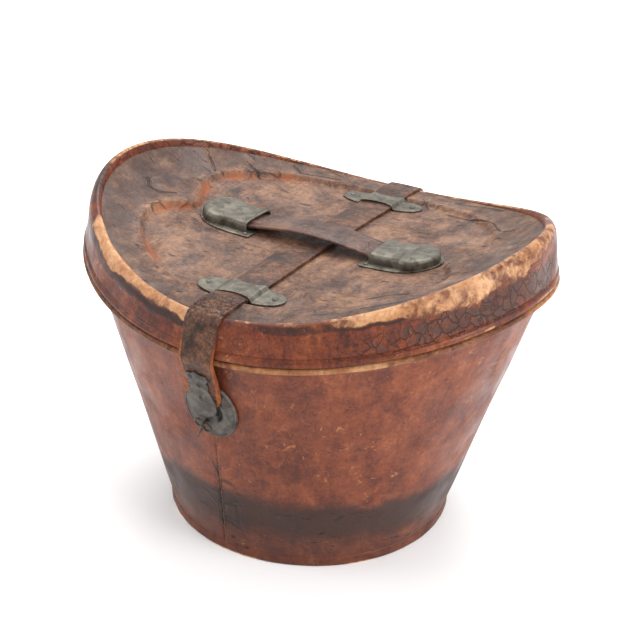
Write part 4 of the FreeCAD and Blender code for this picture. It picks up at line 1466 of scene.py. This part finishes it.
def lid_studs(
    name: str, places: Sequence[Tuple[float, float]], radius: float, height: float, lift: float
) -> bpy.types.Object:
    """Rivet heads standing on fittings of the lid, as one piece."""
    heads = []
    for x, y in places:
        foot = Vector((x, y, float(FORM.panel(x, y)) + lift))
        heads.append(stud(name, foot, lid_normal(x, y), radius, height))
    return join(name, heads)


@dataclass
class StrapKeepers:
    """Two riveted brass loops that hold the strap down on the lid."""

    palette: Palette
    offset: float = 107.0
    reach: float = 35.5
    gauge: float = 1.2

    def outline(self, x: Array) -> Array:
        """Half length of the keeper along the strap at a distance across."""
        across = (0.0, 5.0, 9.0, 12.5, 15.0, 17.5, 20.5, 24.0, 28.0, 31.0, 33.2, 34.7, 35.3, 35.5)
        half = (8.4, 8.8, 9.8, 11.4, 12.0, 12.1, 11.7, 10.9, 9.6, 8.0, 6.1, 3.8, 1.8, 0.1)
        return np.interp(np.abs(x), across, half)

    @staticmethod
    def rise(x: Array) -> Array:
        """Height of its outer face over the lid panel."""
        across = (0.0, 12.4, 13.6, 14.3, 14.9, 15.4, 16.1, 18.0, 24.0, 34.0, 35.5)
        height = (4.7, 4.7, 4.5, 3.9, 2.9, 2.0, 1.65, 1.6, 1.6, 1.5, 1.1)
        return np.interp(np.abs(x), across, height)

    def place(self, middle: float) -> Callable[[Array, Array], Array]:
        """Placing function of the keeper whose middle is at that Y."""

        def bend(u: Array, v: Array) -> Array:
            """Place of each point of the bridge and its two ears."""
            x = self.reach * np.sin((u - 0.5) * math.pi)
            side = 2 * v - 1
            y = middle + side * self.outline(x)
            z = FORM.panel(x, y) + self.rise(x) - 0.25 * np.abs(side) ** 6
            points = np.stack([x, y, z], axis=1)
            points[:, 2] += 0.10 * rumple(points, 12.0, 3, 4.0)
            return points

        return bend

    def build(self) -> None:
        """Model and dress both keepers and their rivets."""
        for middle, word in ((-self.offset, "front"), (self.offset, "rear")):
            sheet = Sheet("keeper_%s_brass" % word, 130, 26, self.gauge, bevel=0.45, sharp=35.0)
            piece = sheet.make(self.place(middle))
            settle(piece, self.palette.brass, "lid", ["keeper_%s" % word])
        places = [(x, y) for y in (-self.offset, self.offset) for x in (-27.5, 27.5)]
        rivets = lid_studs("keeper_rivet_heads", places, 2.3, 1.4, 1.4)
        settle(rivets, self.palette.brass, "lid", ["keeper_rivets"])


@dataclass
class HandleSet:
    """Two hollow brass plates and the padded strap handle whose ends lie in them."""

    palette: Palette
    half_width: float = 14.3
    half_gauge: float = 1.75

    @staticmethod
    def under(x: Array) -> Array:
        """Height of the underside of the handle strap."""
        out = np.abs(x)
        inner = np.interp(out, (0, 12, 22, 32, 42, 53), (228.2, 227.9, 227.3, 226.2, 224.9, 0))
        rest = FORM.panel(out, 0.0) + np.interp(out, (53, 62), (2.7, 2.3))
        near = np.interp(out, (42, 53), (224.9, float(FORM.panel(53.0, 0.0)) + 2.7))
        return np.where(out < 42, inner, np.where(out < 53, near, rest))

    def strap_half(self, side: Side) -> bpy.types.Object:
        """One half of the handle strap, from inside a plate to the middle."""
        hand = side.value

        def place(u: Array, v: Array) -> Array:
            """Place of each point round and along the strap."""
            turn = u * 2 * math.pi
            out = v * 94.0
            half = self.half_width * (1 - 0.12 * smooth(86.0, 94.0, out))
            cos, sin = np.cos(turn), np.sin(turn)
            y = -half * np.sign(cos) * np.abs(cos) ** 0.42
            crown = 0.7 * (1 - (y / self.half_width) ** 2) * (sin > 0)
            around = self.half_gauge * np.sign(sin) * np.abs(sin) ** 0.55
            z = self.under(out) + self.half_gauge + around + crown
            stitched = np.exp(-((np.abs(y) - 11.6) / 0.8) ** 2) * (sin > 0) * 0.35
            points = np.stack([hand * out, y, z - stitched], axis=1)
            points[:, 2] += 0.30 * rumple(points, 26.0, 3, 2.0)
            points[:, 1] += 0.35 * rumple(points * np.array([1, 0, 0]), 34.0, 2, 6.0) * np.sign(y)
            return points

        def marks(u: Array, v: Array, points: Array) -> Dict[str, Array]:
            """Rubbed edges, and cracks where the strap enters a housing."""
            edge = smooth(11.8, 14.2, np.abs(points[:, 1]))
            mouth = smooth(36.0, 48.0, np.abs(points[:, 0]))
            return {"worn": 0.24 * edge, "char": 0.1 * mouth, "cracked": 0.5 * mouth * (1 - edge)}

        sheet = Sheet("handle_%s_hide" % side.name.lower(), 72, 130, flip=side is Side.RIGHT)
        piece = sheet.make(place, marks)
        pick(piece)
        bpy.ops.object.mode_set(mode="EDIT")
        bpy.ops.mesh.select_mode(type="VERT")
        bpy.ops.mesh.select_all(action="DESELECT")
        bpy.ops.mesh.select_non_manifold()
        bpy.ops.mesh.edge_face_add()
        bpy.ops.mesh.select_all(action="SELECT")
        bpy.ops.mesh.normals_make_consistent(inside=False)
        bpy.ops.object.mode_set(mode="OBJECT")
        round_off(piece, 50.0)
        return piece

    def flange(self, side: Side) -> bpy.types.Object:
        """Flat riveted flange of one plate."""
        hand = side.value

        def place(u: Array, v: Array) -> Array:
            """Place of each point of the flat flange."""
            x = 47.6 + 56.2 * (0.5 - 0.5 * np.cos(u * math.pi))
            half = np.interp(x, (47.6, 48.0, 49.2, 56, 66, 78, 85, 91, 96, 100, 102.6, 103.6, 103.8),
                             (22.6, 24.0, 24.6, 24.6, 25.2, 25.0, 23.6, 20.8, 16.8, 11.8, 6.2, 2.6, 0.1))
            wave = 2 * v - 1
            y = half * wave
            z = FORM.panel(x, y) + 1.5 - 0.3 * np.abs(wave) ** 14
            points = np.stack([hand * x, y, z], axis=1)
            points[:, 2] += 0.10 * rumple(points, 14.0, 3, 3.0)
            return points

        name = "handle_flange_%s" % side.name.lower()
        sheet = Sheet(name, 60, 48, 1.3, bevel=0.4, flip=side is Side.LEFT, sharp=35.0)
        return sheet.make(place)

    def housing(self, side: Side) -> bpy.types.Object:
        """Raised hollow of one plate, open towards the handle."""
        hand = side.value

        def place(u: Array, v: Array) -> Array:
            """Place of each point of the raised housing."""
            x = 53.5 + 47.6 * np.sin(u * math.pi / 2)
            half = np.interp(x, (53.5, 62, 70, 76, 79, 83, 89, 93, 96.5, 99, 100.4, 101.1),
                             (18.6, 18.1, 17.9, 18.4, 20.2, 21.4, 20.4, 17.6, 13.6, 8.8, 4.8, 0.2))
            over = np.clip((x - 84.0) / 17.2, 0.0, 1.0)
            top = 7.7 * (1 - over ** 3.4) ** 0.32 + 0.45 * np.exp(-((x - 54.5) / 1.4) ** 2)
            turn = v * math.pi
            cos, sin = np.cos(turn), np.sin(turn)
            y = -half * np.sign(cos) * np.abs(cos) ** 0.34
            lift = top * np.clip(sin, 0.0, 1.0) ** 0.42
            z = FORM.panel(x, y) + 1.35 + lift
            points = np.stack([hand * x, y, z], axis=1)
            points[:, 2] += 0.14 * rumple(points, 16.0, 3, 5.0) * np.clip(sin, 0, 1)
            return points

        sheet = Sheet("handle_housing_%s_brass" % side.name.lower(), 84, 72, 1.3, bevel=0.35,
                      flip=side is Side.LEFT, sharp=35.0)
        return sheet.make(place)

    def build(self) -> None:
        """Model and dress the plates, their pins and the handle."""
        for side in Side:
            word = side.name.lower()
            settle(self.flange(side), self.palette.brass, "lid", ["handle_plate_%s" % word])
            settle(self.housing(side), self.palette.brass, "lid", ["handle_housing_%s" % word])
            nodes = ["handle_strap_%s" % word]
            if side is Side.RIGHT:
                nodes.append("handle_strap_mid")
            half = self.strap_half(side)
            settle(half, self.palette.handle, "", nodes)
            if side is Side.LEFT:
                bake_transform(half)
            else:
                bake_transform(half)
        places = [(x, y) for x in (-52.5, 52.5) for y in (-20.8, 20.8)]
        pins = lid_studs("handle_pin_heads", places, 1.8, 1.1, 1.45)
        settle(pins, self.palette.brass, "lid", ["handle_plate_pins"])


# ------------------------------------------------------------------ lock
@dataclass
class LockSet:
    """Lock plate with bolt and key on the bucket, and the hasp on the strap end."""

    palette: Palette
    half_wide: float = 21.6
    half_tall: float = 24.7
    key_across: float = -3.0
    key_up: float = -9.5
    slot_across: float = 8.6
    slot_up: float = 1.0
    slot_half_wide: float = 2.6
    slot_half_tall: float = 8.0
    slot_depth: float = 2.2

    def plate_spots(self, u: Array, v: Array) -> Tuple[Array, Array, Array, Array]:
        """Share of the radius, place across and up, and depth share of the slot in the plate."""
        angle = u * 2 * math.pi
        share = np.sin(v * math.pi / 2)
        across = self.half_wide * share * np.cos(angle)
        up = self.half_tall * share * np.sin(angle)
        bent = across - self.slot_across + 0.035 * (up - self.slot_up) ** 2
        tall = (up - self.slot_up) / self.slot_half_tall
        slot = smooth(1.2, 0.8, (bent / self.slot_half_wide) ** 2 + tall ** 2)
        return share, across, up, slot

    def plate_marks(self, u: Array, v: Array, points: Array) -> Dict[str, Array]:
        """Painted shade: the slot beside the hasp leaf, near-black where the leaf's lifted edge shades the
        plate.
        """
        return {"hollow": self.plate_spots(u, v)[3]}

    def plate_place(self, u: Array, v: Array) -> Array:
        """Oval plate with a rolled bead, a low crowned middle and the slot beside the leaf."""
        share, across, up, slot = self.plate_spots(u, v)
        out = np.interp(share, (0.0, 0.5, 0.80, 0.86, 0.885, 0.91, 0.935, 0.96, 0.985, 1.0),
                        (4.1, 4.0, 3.7, 3.0, 2.3, 1.9, 2.2, 2.6, 1.9, 0.2))
        out = out - self.slot_depth * slot
        rows = [LOCK.point(a, b, c) for a, b, c in zip(across.tolist(), up.tolist(), out.tolist())]
        return np.array([tuple(row) for row in rows])

    def key(self) -> bpy.types.Object:
        """Small iron key: shaft, two wire rings and a tapered spike."""
        turn = LOCK.normal.to_track_quat("Z", "Y").to_matrix().to_4x4()
        parts = []
        shaft = LOCK.point(self.key_across, self.key_up, 5.6)
        clear_selection()
        bpy.ops.mesh.primitive_cylinder_add(vertices=24, radius=1.5 * MM, depth=7.6 * MM)
        bpy.context.object.data.transform(Matrix.Translation(shaft * MM) @ turn)
        parts.append(bpy.context.object)
        for hand in (-1, 1):
            middle = LOCK.point(self.key_across + 3.4 * hand, self.key_up - 1.5 * hand, 9.3)
            clear_selection()
            bpy.ops.mesh.primitive_torus_add(major_radius=3.2 * MM, minor_radius=0.85 * MM,
                                             major_segments=40, minor_segments=14)
            bpy.context.object.data.transform(Matrix.Translation(middle * MM) @ turn)
            parts.append(bpy.context.object)
        first = LOCK.point(self.key_across, self.key_up, 9.3)
        last = LOCK.point(self.key_across - 6.8, self.key_up - 13.2, 9.3)
        aim = (last - first).normalized().to_track_quat("Z", "Y").to_matrix().to_4x4()
        clear_selection()
        bpy.ops.mesh.primitive_cone_add(vertices=20, radius1=1.35 * MM, radius2=0.7 * MM, depth=14.8 * MM)
        bpy.context.object.data.transform(Matrix.Translation((first + last) * 0.5 * MM) @ aim)
        parts.append(bpy.context.object)
        whole = join("lock_key_iron", parts)
        round_off(whole, 40.0)
        return whole

    def build(self) -> None:
        """Dress the lock and the hasp, with softened copies of their worked metal."""
        brass, iron = self.palette.steel, self.palette.iron
        for node, body, width, metal in (
            ("hasp_plate", "strap_end", 0.40, brass),
            ("hasp_staple", "strap_end", 0.30, brass),
            ("lock_bolt", "bolt", 0.20, iron),
        ):
            copy = softened_copy(node, node + "_metal", width)
            settle(copy, metal, body, [node])
        sheet = Sheet("lock_plate_brass", 96, 30, sharp=50.0, flip=True)
        plate = sheet.make(self.plate_place, self.plate_marks)
        settle(plate, brass, "bucket", ["lock_plate"])
        settle(self.key(), iron, "key", ["lock_key"])
        heads = [stud("lock_rivet", LOCK.point(x, y, 1.55), LOCK.normal, 1.75, 1.1)
                 for x in (-13.3, 13.3) for y in (-16.6, 16.6)]
        settle(join("lock_rivet_heads", heads), brass, "bucket", ["lock_rivets"])
        leaf = ((-7.4, 34.0, 9.6), (3.4, 34.0, 9.6), (-2.0, 26.2, 8.7), (-2.0, 14.6, 8.5))
        heads = [stud("hasp_rivet", LOCK.point(x, up, out), LOCK.normal, 1.9, 1.2) for x, up, out in leaf]
        settle(join("hasp_rivet_heads", heads), brass, "strap_end", ["hasp_rivets"])
        back = Vector((0.0, math.cos(LOCK.tilt), -math.sin(LOCK.tilt)))
        heads = []
        for x in (-7.5, 7.5):
            for z in (142.0, 158.0):
                foot = Vector((x, float(FORM.wall(z)[1]), z)) + back * 2.6
                heads.append(stud("tail_rivet", foot, back, 2.3, 1.3))
        settle(join("tail_rivet_heads", heads), brass, "bucket", ["strap_tail_rivets"])


# ------------------------------------------------------------------ studio
@dataclass
class Studio:
    """Pale floor, soft lights and the camera."""

    azimuth: float = 29.25
    elevation: float = 28.26
    distance: float = 1.07608
    roll: float = 1.91
    lens: float = 75.17

    def floor(self) -> None:
        """Plain pale floor under the box."""
        clear_selection()
        bpy.ops.mesh.primitive_plane_add(size=14.0, location=(0.0, 0.0, 0.0))
        ground = bpy.context.object
        ground.name = "studio_floor"
        mix = Recipe("studio_paper")
        tone = mix.ramp(mix.cloud(3.0, 3.0, 0.5), [(0.3, (0.93, 0.93, 0.93)), (0.7, (0.95, 0.95, 0.95))])
        dress(ground, mix.close(tone, 0.9))

    @staticmethod
    def soft_light(name: str, place: Vector, aim: Vector, size: float, power: float) -> None:
        """One square area light that looks at a place."""
        bpy.ops.object.light_add(type="AREA", location=place)
        lamp = bpy.context.object
        lamp.name = name
        lamp.data.size = size
        lamp.data.energy = power
        lamp.rotation_euler = (aim - place).to_track_quat("-Z", "Y").to_euler()

    def lights(self) -> None:
        """Soft light from above and behind, and a fill from the front."""
        world = bpy.context.scene.world or bpy.data.worlds.new("studio_world")
        bpy.context.scene.world = world
        world.use_nodes = True
        for node in world.node_tree.nodes:
            if node.type == "BACKGROUND":
                node.inputs["Color"].default_value = (1.0, 1.0, 1.0, 1.0)
                node.inputs["Strength"].default_value = 1.0
        aim = Vector((0.0, 0.0, 0.13))
        self.soft_light("light_above", Vector((-0.3, 0.7, 1.7)), aim, 1.3, 26.0)
        self.soft_light("light_left", Vector((-1.5, -0.9, 1.1)), aim, 0.9, 10.0)
        self.soft_light("light_right", Vector((1.7, -0.1, 0.9)), aim, 1.1, 24.0)

    def camera(self) -> None:
        """Camera at the given view, with the small shift that frames the box."""
        azimuth, elevation, roll = map(math.radians, (self.azimuth, self.elevation, self.roll))
        aim = Vector((0.0, 0.0, 0.1))
        back = Vector((math.sin(azimuth) * math.cos(elevation), -math.cos(azimuth) * math.cos(elevation),
                       math.sin(elevation)))
        right = Vector((math.cos(azimuth), math.sin(azimuth), 0.0))
        up = back.cross(right)
        turned_right = math.cos(roll) * right + math.sin(roll) * up
        turned_up = -math.sin(roll) * right + math.cos(roll) * up
        place = aim + back * self.distance
        bpy.ops.object.camera_add()
        camera = bpy.context.object
        camera.name = "studio_camera"
        turn = Matrix((turned_right, turned_up, back)).transposed().to_4x4()
        camera.matrix_world = Matrix.Translation(place) @ turn
        camera.data.lens = self.lens
        camera.data.sensor_width = 36.0
        camera.data.shift_x = 0.0108
        camera.data.shift_y = 0.0945
        camera.data.clip_start = 0.01
        bpy.context.scene.camera = camera

    def build(self) -> None:
        """Set up the floor, the lights and the camera."""
        bpy.context.scene.view_settings.view_transform = "Standard"
        self.floor()
        self.lights()
        self.camera()


def main() -> None:
    """Build the hat box piece by piece, then the studio."""
    logging.basicConfig(level=logging.INFO, format="%(name)s: %(message)s")
    palette = mix_palette()
    for part in (BucketShell, LidShell, ClosingStrap, StrapKeepers, HandleSet, LockSet):
        part(palette).build()
        LOG.info("finished %s", part.__name__)
    Studio().build()


if __name__ == "__main__":
    main()
